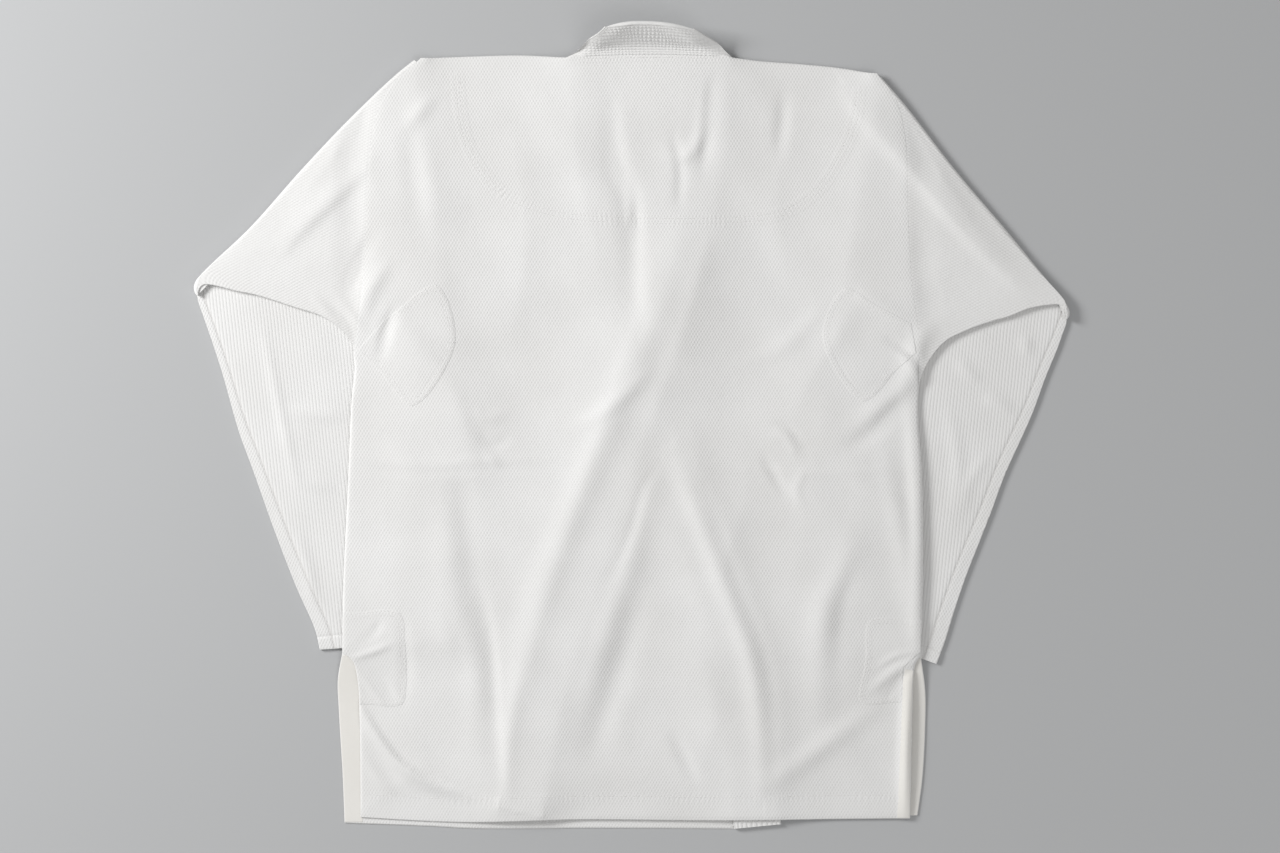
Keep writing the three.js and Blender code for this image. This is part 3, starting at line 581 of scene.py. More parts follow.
BACK_CREASES = [
    (5.2, (20, 12), [(47, -30), (96, -160), (124, -235), (136, -320), (138, -385)]),
    (-2.4, (9, 12), [(74, -66), (112, -175), (138, -248), (146, -330), (147, -385)]),
    (-2.6, 14, [(5, -190), (-20, -275), (-44, -345)]),
    (2.6, 14, [(20, -55), (8, -100), (-4, -150), (-22, -200), (-50, -290)]),
    (-1.3, 5, [(24, -46), (12, -64), (0, -107), (-19, -156)]),
    (-1.3, 12, [(-178, -45), (-168, -120), (-160, -175), (-148, -210)]),
    (-2.2, (5, 11), [(-156, -175), (-146, -235), (-141, -320), (-136, -392)]),
    (1.8, 13, [(-196, -60), (-184, -180), (-164, -245), (-166, -345)]),
    (1.1, (9, 6), [(-118, -250), (-128, -320), (-130, -392)]),
    (-3.2, (9, 14), [(-22, 348), (-14, 267), (0, 230), (2, 147), (8, 105)]),
    (-1.7, 5, [(43, 304), (50, 268), (49, 230)]),
    (1.5, 5, [(-8, 262), (-2, 236), (-4, 205)]),
    (2.8, 16, [(55, 212), (19, 98), (-19, 14), (-43, -46), (-92, -169), (-128, -321)]),
    (-2.2, (8, 5), [(84, 361), (79, 328), (73, 265)]),
    (2.0, 7, [(80, 345), (72, 300), (55, 280), (28, 284)]),
    (-1.9, 7, [(159, 348), (156, 310), (153, 283)]),
    (2.1, 14, [(238, -115), (222, -150), (200, -190), (196, -315)]),
    (-0.8, 8, [(236, -140), (220, -186), (214, -260)]),
    (2.6, 11, [(141, -374), (176, -351), (209, -327), (258, -293)]),
    (-1.8, 7, [(42, -320), (68, -374)]),
    (4.2, (2.4, 9), [(-285, -288), (-268, -318), (-244, -349), (-212, -371), (-176, -383)]),
    (-1.6, 8, [(-276, -330), (-262, -354), (-240, -376)]),
    (1.3, 5, [(-282, -340), (-266, -366), (-250, -382)]),
    (3.8, 11, [(318, 105), (300, 88), (285, 40), (256, 16), (236, -2)]),
    (-2.4, 9, [(288, 40), (262, 4), (222, -26)]),
    (1.3, 6, [(227, -58), (262, -74), (296, -86)]),
    (2.7, 12, [(262, -22), (284, -130), (296, -225)]),
    (1.7, 8, [(19, 58), (-10, 30), (-40, 8), (-62, -2)]),
    (1.1, 9, [(199, 123), (174, 96), (149, 77), (118, 67)]),
    (-1.9, (6, 4), [(137, -34), (148, -52), (160, -72)]),
    (1.6, 5, [(147, -6), (163, -14), (172, -32)]),
    (-1.1, 4, [(150, 4), (164, -2), (174, -16)]),
    (1.2, 5, [(180, -46), (172, -66), (178, -88)]),
    (1.0, 6, [(-166, 18), (-150, 8), (-131, 13)]),
    (-1.1, 5, [(-160, -8), (-143, -20), (-128, -13)]),
    (1.0, 5, [(-152, -28), (-138, -44)]),
    (4.0, (9, 7), [(290, 24), (296, -60), (298, -150), (296, -236)]),
    (6.4, (8, 6), [(290, -252), (286, -330), (285, -412)]),
    (0.5, 4, [(-292, -32), (-215, -40), (-150, -36), (-60, -34)]),
    (-0.45, 4, [(-288, -43), (-215, -51), (-150, -46), (-80, -46)]),
    (0.5, 4, [(70, -38), (130, -46), (200, -50), (292, -44)]),
    (3.6, (22, 9), [(224, 350), (238, 326), (284, 276), (330, 222), (368, 180), (414, 138)]),
    (2.0, (7, 13), [(-276, 270), (-312, 236), (-352, 197), (-366, 178)]),
    (1.6, 8, [(-207, 342), (-222, 326), (-236, 312)]),
    (-1.8, 12, [(-232, 311), (-227, 262), (-220, 214)]),
    (-2.2, (9, 7), [(-272, 200), (-284, 168), (-298, 140)]),
    (2.2, 8, [(-254, 170), (-272, 142), (-282, 112)]),
    (-2.6, (7, 5), [(-248, 122), (-257, 98), (-264, 70)]),
    (1.5, 4, [(-336, 138), (-321, 121), (-305, 104)]),
    (-1.4, 4, [(-320, 134), (-304, 112), (-290, 92)]),
    (1.3, 4, [(-308, 134), (-292, 116), (-280, 100)]),
    (1.7, 8, [(232, 140), (262, 124), (292, 108)]),
    (-1.5, 5, [(262, 92), (284, 80), (304, 58)]),
    (1.6, 5, [(276, 76), (292, 62), (300, 44)]),
    (-1.8, 4, [(-262, -205), (-272, -218), (-290, -232)]),
    (1.7, 4, [(-252, -228), (-270, -236), (-292, -243)]),
    (-1.5, 4, [(-248, -284), (-266, -262), (-286, -250)]),
    (1.3, 4, [(-258, -292), (-274, -272), (-288, -256)]),
    (-1.3, 6, [(-241, -198), (-237, -230), (-236, -262), (-240, -290)]),
    (2.2, 6, [(296, -243), (272, -258), (250, -276)]),
    (-1.3, 4, [(296, -250), (280, -266), (266, -286)]),
    (1.2, 4, [(298, -236), (276, -240), (256, -252)]),
]

# What the back rests on besides the layers below it: the collar's seam at the neck, and the sleeves' tops
COLLAR_TOP = 420
neck_box = np.array([(NECK[side], NECK["line"]) for side in ("left", "right")]
                    + [(NECK[side], COLLAR_TOP) for side in ("right", "left")])
neck_seat = raised(neck_box, NECK_SEAT, 10)
armhole_seats = [
    SLEEVE_SEAT * (1 - smoothstep(nearest(joined(f"armhole_{side}"), *PLAN)[0], 3, 14)) for side in SLEEVES
]
on_all = np.maximum.reduce([on_left, on_right, left_top, right_top, neck_seat, *armhole_seats])

# The back's outline with its armholes pushed out, because the sleeves carry the cloth on there at one level
PAST_ARMHOLE = 75
ARMHOLE_INNER = 215
past_armholes = OUTLINES["back"].copy()
armpit = np.where(past_armholes[:, 0] < 0, EDGE["side_left"][0][1], EDGE["side_right"][0][1])
sewn_on = (np.abs(past_armholes[:, 0]) > ARMHOLE_INNER) & (past_armholes[:, 1] > armpit)
sewn_on &= past_armholes[:, 1] < EDGE["neck"][0][1]
past_armholes[sewn_on, 0] += PAST_ARMHOLE * np.sign(past_armholes[sewn_on, 0])
edge_of_back = depth_in(past_armholes, *PLAN)
inside_back = smoothstep(edge_of_back, 0, 24)
resting_back = laid_over(on_all) + BACK_LOFT * smoothstep(edge_of_back, 0, BACK_LOFT_MARGIN)
resting_back = resting_back + uneven(*PLAN, seed=7, size=0.55) * inside_back


def under_back(x, y):
    """The back's underside: the resting cloth and its creases, kept softly above what lies under it. Troughs
    die out at the cloth's edges."""
    crease = creased(BACK_CREASES, x, y)
    crease = np.where(crease < 0, crease * from_plan(inside_back, x, y), crease)
    wanted = from_plan(resting_back, x, y) + crease
    least = from_plan(on_all, x, y)
    return (wanted + least + np.sqrt((wanted - least) ** 2 + 0.5)) / 2


def on_back(x, y):
    """The back's outside: one thickness above its underside."""
    return under_back(x, y) + CLOTH


back = finished(panel(
    "back_cloth", joined("hem_back"), joined("shoulder_left", "neck", "shoulder_right"),
    joined("-vent_back_left", "-side_left", "-armhole_left"),
    joined("-vent_back_right", "-side_right", "-armhole_right"), under_back, lap=4.0,
), PEARL_CLOTH, "pearl_weave", "back_panel")

# The sleeves: each is a tube, pressed flat and folded under along a slanting line that ends at the elbow. Its
# back half is pearl weave and wraps round the edge to a lengthwise seam, and its front half is ribbed.
SLEEVE_SKIN = {"upper": SLEEVE_TURN, "lower": FOLD_ROOM / 2}
SEAM_INSET = 16.0
CUFF_HEM = 12.5
ELBOW_OPEN = (0.8, 1.2)
SLEEVE_LOFT = 1.3
EDGE_POINTS = 5
TURN_ROWS = 14
RIB_LEAN = math.radians(6.3)
FOREARM_CREASES = {
    "left": [(1.4, 7, [(-360, 16), (-330, 12), (-297, 9)]), (1.2, 5, [(-385, 100), (-368, 20), (-350, -60)]),
             (1.6, 6, [(-430, 156), (-412, 152), (-368, 134)]),
             (1.0, 6, [(-372, -40), (-340, -60), (-312, -64)]),
             (1.2, 7, [(-350, -110), (-338, -150), (-330, -190)])],
    "right": [(1.6, 7, [(368, 30), (385, 22), (398, 15)]), (1.6, 7, [(340, 68), (352, 55), (363, 47)]),
              (1.4, 6, [(410, 94), (412, 82), (413, 73)]), (1.3, 8, [(330, 20), (340, -40), (336, -100)]),
              (1.1, 6, [(372, -30), (352, -60), (346, -92)])],
}


def sleeve_piece(name, side, armhole, cuff, fold, underarm, outer):
    """A flat tube lofted along its length. Round its section, inset is the way in from the underarm edge, out
    on one wall and back on the other, and each wall keeps its distance r from the turn. Gives the mesh, and
    the lines of stitches along its lengthwise seam and round its cuff."""
    seam, crease = smooth_line(EDGE[armhole], 120), smooth_line(fold, 120)
    under, outside_edge = smooth_line(underarm, 80), smooth_line(outer, 80)
    along = crease[100] - crease[20]
    along /= np.linalg.norm(along)
    out = np.array([along[1], -along[0]]) * -side
    cuff = np.array(cuff, float)
    cuff_way = (cuff[1] - cuff[0]) / np.linalg.norm(cuff[1] - cuff[0])
    forearm_long = length_of(outside_edge)
    near = np.array([0, 1.0, 2.2, 4.0, 7.0, 10.5, 13.5, 15.0, SEAM_INSET, 17.0, 18.5, 21.5, 25.0])
    rim = np.array([4.0, 2.2, 1.0, 0])
    columns = 66

    def insets(wide):
        return np.concatenate([near, np.linspace(near[-1], wide - rim[0], columns)[1:-1], wide - rim])

    def section(wide, upper, lower, end, bulge):
        """The ring's inset, distance past the edge and r, all round."""
        flat = insets(wide)
        turn = np.linspace(0, np.pi, EDGE_POINTS + 2)[1:-1]
        middle, half = (upper + lower) / 2, (upper - lower) / 2
        inset = np.concatenate([flat[::-1], turn * 0, flat, turn * 0 + wide])
        past = np.concatenate([flat * 0, end + np.sin(turn) * bulge, flat * 0, -end - np.sin(turn) * bulge])
        past = past + end * ((inset == 0) & (past == 0)) - end * ((inset == wide) & (past == 0))
        r = np.concatenate([flat * 0 + upper, middle + half * np.cos(turn), flat * 0 + lower,
                            middle - half * np.cos(turn)])
        return inset, past, r

    def rows(skin, upper_rows, turn_rows, forearm_rows):
        down = np.array([0.0, -1.0])
        points, laid, inner = [], [], []

        def ring(wide):
            inset, past, r = section(wide, *skin)
            share = 1 - inset / wide
            start = at_share(seam, share) + [side * GAP, GAP]
            turn = at_share(crease, share) - out * SLEEVE_TURN
            apart = np.linalg.norm(turn - start, axis=1)
            return inset, past, r, share, start, turn, smoothstep(r, 1.5, 3.5), 1 - smoothstep(apart, 12, 60)

        def add(at, way, past, z, pattern, inset):
            points.append(np.column_stack([at + way * past[:, None], z]))
            laid.append(pattern + way * past[:, None])
            inner.append(inset)

        def opened(share, t):
            return smoothstep(share, 0.76, 1) * smoothstep(t, 0, 0.2) * (
                ELBOW_OPEN[0] + ELBOW_OPEN[1] * smoothstep(t, 0.45, 0.95))

        wide_seam, wide_fold = length_of(seam), length_of(crease)
        for t in upper_rows:
            inset, past, r, share, start, turn, top, corner = ring(wide_seam * (1 - t) + wide_fold * t)
            bent = at_share(under, t) - (seam[-1] * (1 - t) + (crease[-1] - out * SLEEVE_TURN) * t)
            at = start * (1 - t) + turn * t + share[:, None] ** 2 * bent
            way = down * (1 - t) + along * t
            way = np.where((share < 0.5)[:, None], along, way / np.linalg.norm(way))
            gone = t * np.linalg.norm(turn - start, axis=1)
            x, y = at[:, 0], at[:, 1]
            fade = smoothstep(1 - t, 0, 0.3) * np.minimum(1, 6 * share * (1 - share) + 0.1)
            level = on_back(x, y) - SLEEVE_TURN - SLEEVE_SKIN["upper"]
            joining = (1 - smoothstep(gone, 5, 45)) * (corner + (1 - corner) * smoothstep(1 - t, 0, 0.3))
            lift = (creased(BACK_CREASES, x, y) + SLEEVE_LOFT) * fade * (1 - joining) + level * joining
            lift += uneven(x, y, seed=21, size=0.35) * fade * smoothstep(gone, 5, 40)
            z = SLEEVE_TURN + r + top * (np.maximum(lift, -0.2) - 0.16 * (1 - smoothstep(gone, 4, 10)))
            astray = ((turn - crease[60]) @ out + SLEEVE_TURN) * t**6
            mirrored = at - 2 * ((at - crease[60]) @ out + SLEEVE_TURN - astray)[:, None] * out
            add(at, way, past, z + opened(share, t), mirrored + out * np.pi * r[:, None], inset)
        for angle in np.linspace(0, np.pi, turn_rows, endpoint=False):
            inset, past, r, share, start, turn, top, corner = ring(wide_fold)
            at = turn + out * (r * np.sin(angle))[:, None]
            level = on_back(turn[:, 0], turn[:, 1]) - SLEEVE_TURN - SLEEVE_SKIN["upper"]
            joining = (1 - smoothstep(np.linalg.norm(turn - start, axis=1), 5, 45)) * corner
            z = SLEEVE_TURN + r * np.cos(angle)
            z += (opened(share, 1) + top * np.maximum(level * joining, -0.2)) * (1 + np.cos(angle)) / 2
            add(at, along, past, z, turn + out * (r * (np.pi - angle))[:, None], inset)
        for t in forearm_rows:
            inset, past, r, share, start, turn, top, _ = ring(wide_fold * (1 - t) + length_of(cuff) * t)
            straight = (crease[-1] - out * SLEEVE_TURN) * (1 - t) + cuff[1] * t
            at = turn * (1 - t) + (cuff[0] + (cuff[1] - cuff[0]) * share[:, None]) * t
            at = at + share[:, None] ** 2 * (at_share(outside_edge, t) - straight)
            way = along * (1 - t) + cuff_way * t
            left_over = forearm_long * (1 - t)
            relief = creased(FOREARM_CREASES[name], at[:, 0], at[:, 1]) * smoothstep(t, 0, 0.1)
            relief += (0.25 + uneven(at[:, 0], at[:, 1], seed=33, size=0.25)) * smoothstep(inset, 0, 20)
            relief *= smoothstep(left_over, 0, 30)
            relief -= 0.55 * np.exp(-(((inset - SEAM_INSET) / 1.0) ** 2)) * smoothstep(r, 1.5, 0.8)
            relief += 0.45 * (1 - smoothstep(left_over, CUFF_HEM - 1, CUFF_HEM + 1.5))
            relief -= 0.6 * np.exp(-(((left_over - CUFF_HEM - 0.5) / 1.0) ** 2)) + 0.5 * math.exp(-left_over)
            add(at, way / np.linalg.norm(way), past, SLEEVE_TURN - r + relief * (1 - top), at, inset)
        return np.array(points), np.array(laid), np.array(inner)

    upper_rows = np.concatenate([[0, 0.006, 0.014, 0.024], np.linspace(0.04, 1, 52)[:-1]])
    hem = 1 - np.array([16, 14.6, 13.6, 13, 12.4, 11.4, 10, 7, 4, 2, 1, 0.4, 0]) / forearm_long
    forearm_rows = np.concatenate([np.linspace(0, hem[0], 112)[:-1], hem])
    upper, lower = SLEEVE_SKIN["upper"], SLEEVE_SKIN["lower"]
    outside, laid_out, inset_out = rows((upper, lower, -0.9, 1.0), upper_rows, TURN_ROWS, forearm_rows)
    inside, laid_in, inset_in = rows((upper - CLOTH, lower + CLOTH, -1.7, 0.0), upper_rows[::5], 8,
                                     forearm_rows[::5])
    points, laid = np.vstack([outside, inside[::-1]]), np.vstack([laid_out, laid_in[::-1]])
    lean = RIB_LEAN * side
    across = np.array([math.cos(lean), -math.sin(lean)])
    along_rib = np.array([math.sin(lean), math.cos(lean)])
    rows_in_all, around = points.shape[:2]
    index = np.arange(rows_in_all * around).reshape(rows_in_all, around)
    a, b = index, np.roll(index, -1, 1)
    c, d = np.roll(b, -1, 0), np.roll(a, -1, 0)
    quads = outward(points.reshape(-1, 3), np.stack([a, b, c, d], -1).reshape(-1, 4))
    uv = np.stack([laid @ across, laid @ along_rib], -1)
    piece = made(f"sleeve_{name}_cloth", points, quads.tolist(), uv)
    flat = len(near) + columns + len(rim) - 2
    front_half = np.zeros(around)
    front_half[flat + EDGE_POINTS:2 * flat + EDGE_POINTS] = 1
    inset = np.vstack([inset_out, inset_in[::-1]])
    past_seam = smoothstep(inset, SEAM_INSET - 0.6, SEAM_INSET + 0.6)
    # The mark seam is painted shade: a narrow band along the seam's groove that the sleeve's material darkens
    painted_seam_shade = np.exp(-(((inset - SEAM_INSET) / 1.1) ** 2))
    marks = {"ribbed": past_seam * front_half, "seam": painted_seam_shade * front_half}
    for mark, value in marks.items():
        piece.data.attributes.new(mark, "FLOAT", "POINT").data.foreach_set("value", value.ravel())
    first_forearm = len(upper_rows) + TURN_ROWS
    seam_run = outside[first_forearm:, flat + EDGE_POINTS + list(near).index(SEAM_INSET)]
    hem_row = first_forearm + len(forearm_rows) - len(hem) + 4
    return piece, seam_run, outside[hem_row, flat + EDGE_POINTS:2 * flat + EDGE_POINTS]


def outward(flat, quads):
    """The same faces, turned round where the volume that they close comes out negative."""
    corners = flat[quads]
    volume = np.einsum("ij,ij->i", corners[:, 0], np.cross(corners[:, 1], corners[:, 2])).sum()
    volume += np.einsum("ij,ij->i", corners[:, 0], np.cross(corners[:, 2], corners[:, 3])).sum()
    return quads if volume > 0 else quads[:, ::-1]


def sleeve_cloth():
    """Two weaves on one surface: the mark ribbed picks ribs or pearl grains, and the mark seam adds painted
    shade along the seam's groove.
    """
    material = bpy.data.materials.new("sleeve_cloth")
    material.use_nodes = True
    tree = material.node_tree
    shader = tree.nodes["Principled BSDF"]
    place = add_node(tree, "ShaderNodeTexCoord").outputs["UV"]
    ribbed = add_node(tree, "ShaderNodeAttribute", attribute_name="ribbed").outputs["Fac"]
    seam = add_node(tree, "ShaderNodeAttribute", attribute_name="seam").outputs["Fac"]
    pearl = add_node(tree, "ShaderNodeGroup", {}, node_tree=PEARL_WEAVE)
    ribs = add_node(tree, "ShaderNodeGroup", {}, node_tree=RIBS)
    for woven in (pearl, ribs):
        tree.links.new(place, woven.inputs["Place"])
    height, gaps = [
        add_node(tree, "ShaderNodeMix", {0: ribbed, 2: pearl.outputs[k], 3: ribs.outputs[k]}).outputs[0]
        for k in ("Height", "Gap shade mask")
    ]
    # The tone paints shade into the weave's gaps, and along the seam's groove where the mark seam is
    toned = add_node(tree, "ShaderNodeGroup", {"Painted gap shade": 0.16}, node_tree=COTTON_TONE_AND_SHADE)
    tree.links.new(place, toned.inputs["Place"])
    tree.links.new(maths(tree, "MULTIPLY_ADD", seam, 2.0, gaps), toned.inputs["Gap shade mask"])
    bump = add_node(tree, "ShaderNodeBump", {"Distance": 0.32 * MM, "Height": height})
    tree.links.new(toned.outputs["Color"], shader.inputs["Base Color"])
    tree.links.new(toned.outputs["Roughness"], shader.inputs["Roughness"])
    tree.links.new(bump.outputs[0], shader.inputs["Normal"])
    shader.inputs["Sheen Weight"].default_value = 0.25
    shader.inputs["Specular IOR Level"].default_value = 0.25
    return material


SLEEVE_CLOTH = sleeve_cloth()
sleeves, forearm_seams, cuff_rows = {}, {}, {}
for name, shape in SLEEVES.items():
    sleeves[name], forearm_seams[name], cuff_rows[name] = sleeve_piece(name, **shape)
    finished(sleeves[name], SLEEVE_CLOTH, "ribbed_weave", f"sleeve_{name}")

# The collar: one long band of cotton twill over a firm core, sewn through in ten rows. It stands up at the
# back of the neck, folds at both corners and runs down the two fronts as the lapels.
BAND_ROWS = [2.2, 5.8, 10.2, 15, 20, 25.5, 31, 36.5, 41.5, 46]
TURN_INNER, TURN_OUTER = FOLD_ROOM / 2, FOLD_ROOM / 2 + BAND
NECK_LIP = 1.6
FOLD_REACH = 15.0
FOLD_THIN = 0.1
FOLD_DROP = 8.5
FOLD_ROUND = 20.0
FOLD_TUCK = 6.0
PUCKER_PITCH = 3.7
PUCKER_HEIGHT = 0.32
COLLAR_OUTLINE = [(-71, 384), (-60, 388), (-48, 399), (-36, 410), (-27, 416), (-13, 419), (12, 420),
                  (36, 418.5), (56, 415.5), (73, 410.5), (88, 400), (99, 389), (109, 382)]
SECTION_POINTS = 62
SECTION_TURN = 6
NECK_CELLS = 104
LAPEL_STEP = 6.5


def stood_up(points):
    """Stands the collar up: what lies past the neck line turns up round a soft bend, and then nothing passes
    the collar's own outline in plan, where the folded layers are drawn in with a soft limit."""
    x, y, z = points[..., 0], points[..., 1], points[..., 2]
    middle = (NECK["left"] + NECK["right"]) / 2
    share = np.clip((x - middle) / (NECK["right"] - middle), -1, 1)
    line = NECK["line"] + NECK["arch"] * (1 - share**2)
    past = y - line
    tilt = NECK["tilt"] + NECK["steeper"] * share**2
    radius = NECK["bend"] / tilt
    angle = np.clip(past / radius, 0, tilt)
    beyond = np.maximum(past - NECK["bend"], 0)
    up = z - BAND_TURN
    bent_y = line + radius * np.sin(angle) + beyond * np.cos(angle) - up * np.sin(angle)
    bent_z = BAND_TURN + radius * (1 - np.cos(angle)) + beyond * np.sin(angle) + up * np.cos(angle)
    outline = smooth_line(COLLAR_OUTLINE, 120)
    limit = np.interp(x, outline[:, 0], outline[:, 1])
    full = radius * np.sin(tilt) + (BAND_WIDTH - NECK["bend"]) * np.cos(tilt)
    fitted = 1 + ((limit - line) / full - 1) * (1 - smoothstep(np.abs(share), 0.5, 0.75))
    bent_y = line + (bent_y - line) * fitted
    bent_y = limit - np.logaddexp(0, (limit - bent_y) / 0.8) * 0.8
    bent = past > 0
    return np.stack([x, np.where(bent, bent_y, y), np.where(bent, bent_z, z)], -1)


def band_section():
    """The band's section as w across it and r out from the middle of its turn: a flat band with round edges,
    drawn in by each row of stitches."""
    flat = np.linspace(2.0, BAND_WIDTH - 1.6, SECTION_POINTS)
    nearest_row = np.abs(flat[:, None] - BAND_ROWS).min(1)
    drawn = 0.65 * np.exp(-((nearest_row / 0.9) ** 2))
    turn = np.linspace(0, np.pi, SECTION_TURN + 2)[1:-1]
    middle, half = (TURN_INNER + TURN_OUTER) / 2, BAND / 2
    w = np.concatenate([flat, BAND_WIDTH - 1.6 + 1.6 * np.sin(turn), flat[::-1], 2.0 - 1.7 * np.sin(turn)])
    r = np.concatenate([
        TURN_OUTER - drawn, middle + half * np.cos(turn), TURN_INNER + drawn[::-1],
        middle - half * np.cos(turn),
    ])
    return w, r


def cut_round(w, from_fold):
    """How far the band's top edge is drawn down along the fold line, so that the corner is round."""
    return FOLD_DROP * smoothstep(w, 28, 50) * (1 - np.clip(from_fold / FOLD_ROUND, 0, 1)) ** 2


def thinned(r, from_fold):
    """The band's distances from its turn, pressed together next to the fold as a quarter of a sine."""
    open_share = np.sin(np.clip(from_fold / FOLD_REACH, 0, 1) * math.pi / 2)
    return TURN_INNER + (r - TURN_INNER) * (FOLD_THIN + (1 - FOLD_THIN) * open_share)


def half_band(lapel, corner):
    """Rows of the band from the middle of the neck to the lapel's end, and how far along the band each lies.
    It turns under along a slanting line at the corner, because the lapel leaves the neck at an angle."""
    w, r = band_section()
    side, length = lapel["side"], lapel_length(lapel)
    start = band_place(lapel, np.array([0.0, -1.0]), np.array([0.0, 0.0]))
    heading = start[0] - start[1]
    slant = (1 + side * heading[0]) / -heading[1]
    across = np.array([side, slant]) / math.hypot(1, slant)
    down_fold = np.array([side * slant, -1]) / math.hypot(1, slant)
    half_neck = (NECK["right"] - NECK["left"]) / 2
    middle = (NECK["right"] + NECK["left"]) / 2
    lip = NECK_LIP * smoothstep(w, 2.2, 0.2) * smoothstep(r, TURN_OUTER - 2.6, TURN_OUTER - 1.6)
    between = smoothstep(np.abs(w[:, None] - BAND_ROWS).min(1), 0.4, 1.6) * smoothstep(w, 48, 45)
    outside = smoothstep(r, TURN_INNER + 2, TURN_INNER + 3) - smoothstep(r, TURN_INNER + 3, TURN_INNER + 2)
    draw = np.random.default_rng(11)
    drift = draw.uniform(0, 2 * math.pi, 4)

    def neck_plan(s, w):
        x = corner + side * s
        arch = NECK["arch"] * np.maximum(0, 1 - ((x - middle) / half_neck) ** 2)
        return np.stack([x, NECK["line"] + arch + w], -1)

    def pucker(s):
        phase = s * 2 * math.pi / PUCKER_PITCH + 1.3 * np.sin(s / 9 + drift[0])
        phase = phase + np.sin(s / 4.3 + w / 5 + drift[1])
        size = 0.8 + 0.4 * np.sin(s / 13 + w / 7 + drift[2])
        return PUCKER_HEIGHT * between * outside * np.sin(phase + 0.1 * w) * size

    rows, along = [], []
    for k in np.linspace(0, 1, NECK_CELLS, endpoint=False):
        s = -half_neck * (1 - k) - slant * w * k
        from_fold = (1 - k) * (half_neck - slant * w) / math.hypot(1, slant)
        plan = neck_plan(s, w - lip * smoothstep(1 - k, 0, 0.12))
        plan = plan + down_fold * cut_round(w, from_fold)[:, None]
        rows.append(np.column_stack([plan, BAND_TURN + thinned(r + pucker(s * side), from_fold)]))
        along.append(half_neck * k)
    pressed = thinned(r + pucker(-slant * w * side), 0.0)
    for angle in np.linspace(0, np.pi, 9):
        plan = neck_plan(-slant * w, w) + across * (pressed * np.sin(angle))[:, None]
        plan = plan + down_fold * cut_round(w, 0.0)[:, None]
        rows.append(np.column_stack([plan, BAND_TURN + pressed * np.cos(angle)]))
        along.append(half_neck + TURN_OUTER * angle)
    first_cell = length / 14
    near_fold = [0.3, 0.9, 1.8, 3.2, 5.0, 7.5, 10.5]
    for s in near_fold + np.linspace(15, length, round(length / LAPEL_STEP)).tolist():
        lean = slant * max(0, 1 - s / first_cell)
        tucked = FOLD_TUCK * smoothstep(w, 15, 45) * smoothstep(s, 0, 6) * (1 - smoothstep(s, 50, 110))
        tucked = tucked + cut_round(w, s / math.hypot(1, slant))
        plan = band_place(lapel, s - lean * w, w) + down_fold * tucked[:, None]
        height = eased(lapel["lift"], band_place(lapel, np.array([s]), np.array([0.0]))[0, 1])
        rows.append(np.column_stack([plan, BAND_TURN - thinned(r, s / math.hypot(1, slant)) + height]))
        along.append(half_neck + TURN_OUTER * np.pi + s)
    return stood_up(np.array(rows)), np.array(along)


def collar():
    """The band's mesh, closed at both lapel ends, and the line of each row of stitches round the neck."""
    left, left_along = half_band(LAPELS["left"], NECK["left"])
    right, right_along = half_band(LAPELS["right"], NECK["right"])
    points = np.vstack([left[::-1], right[1:]])
    along = np.concatenate([-left_along[::-1], right_along[1:]])
    rows, around = points.shape[:2]
    index = np.arange(rows * around).reshape(rows, around)
    a, b, c, d = index[:-1], np.roll(index, -1, 1)[:-1], np.roll(index, -1, 1)[1:], index[1:]
    quads = np.stack([a, b, c, d], -1).reshape(-1, 4)
    turned = outward(points.reshape(-1, 3), quads)
    ends = [index[0][::-1].tolist(), index[-1].tolist()]
    if not np.array_equal(turned, quads):
        ends = [end[::-1] for end in ends]
    w, _ = band_section()
    uv = np.stack(np.broadcast_arrays(along[:, None], w[None]), -1)
    neck = slice(len(left) - NECK_CELLS, len(left) + NECK_CELLS)
    runs = []
    for row in BAND_ROWS:
        k = int(np.abs(w[:SECTION_POINTS] - row).argmin())
        runs += [points[neck, k], points[neck, 2 * SECTION_POINTS + SECTION_TURN - 1 - k]]
    return made("collar_band_cloth", points, turned.tolist() + ends, uv), runs


# Its tone paints shade into the gaps of the twill
TWILL_CLOTH = cotton("collar_twill_cloth", PEARL_WEAVE, coordinates="UV", relief=0.12,
                     sizes={"Column": 0.0014, "Row": 0.0014}, tone={"Painted gap shade": 0.1})
band, band_runs = collar()
finished(band, TWILL_CLOTH, "collar_twill", "collar_band")

# Patches and tapes: pearl weave with turned edges over the armpits and the tops of the side vents, and smooth
# cream tape along the vents. Each is sewn flat on the panel and is the panel's own surface, moved out.
TRIM = 0.36
TRIM_CLEAR = 0.06
TRIM_ROWS = {"tape": (1.6,), "pearl": (2.2, 7.2)}


def trim(name, bottom, top, left, right, surface, rows, step=2.4, thick=TRIM):
    """A trim between four edges, on the surface of the panel that carries it, drawn down along each row of
    stitches, which lies so far in from every edge."""
    bottom, top, left, right = [np.asarray(edge, float) for edge in (bottom, top, left, right)]
    wide, long = max(length_of(bottom), length_of(top)), max(length_of(left), length_of(right))
    u, v = shares(wide, step, (0.4, 1.0)), shares(long, step, (0.4, 1.0))
    plan = four_sided(bottom, top, left, right, u, v)
    x, y = plan[..., 0], plan[..., 1]
    edge = np.minimum(np.minimum(u, 1 - u)[None] * wide, np.minimum(v, 1 - v)[:, None] * long)
    low = surface(x, y) + TRIM_CLEAR
    drawn = sum(0.14 * np.exp(-(((edge - row) / 1.1) ** 2)) for row in rows)
    high = low + thick - rounded(edge, 1.6, thick * 0.6) - np.minimum(drawn, thick * 0.6)
    points, faces = wall(np.stack([x, y, high], -1), thick, 0.15, np.stack([x, y, low], -1))
    return made(name, points, faces)


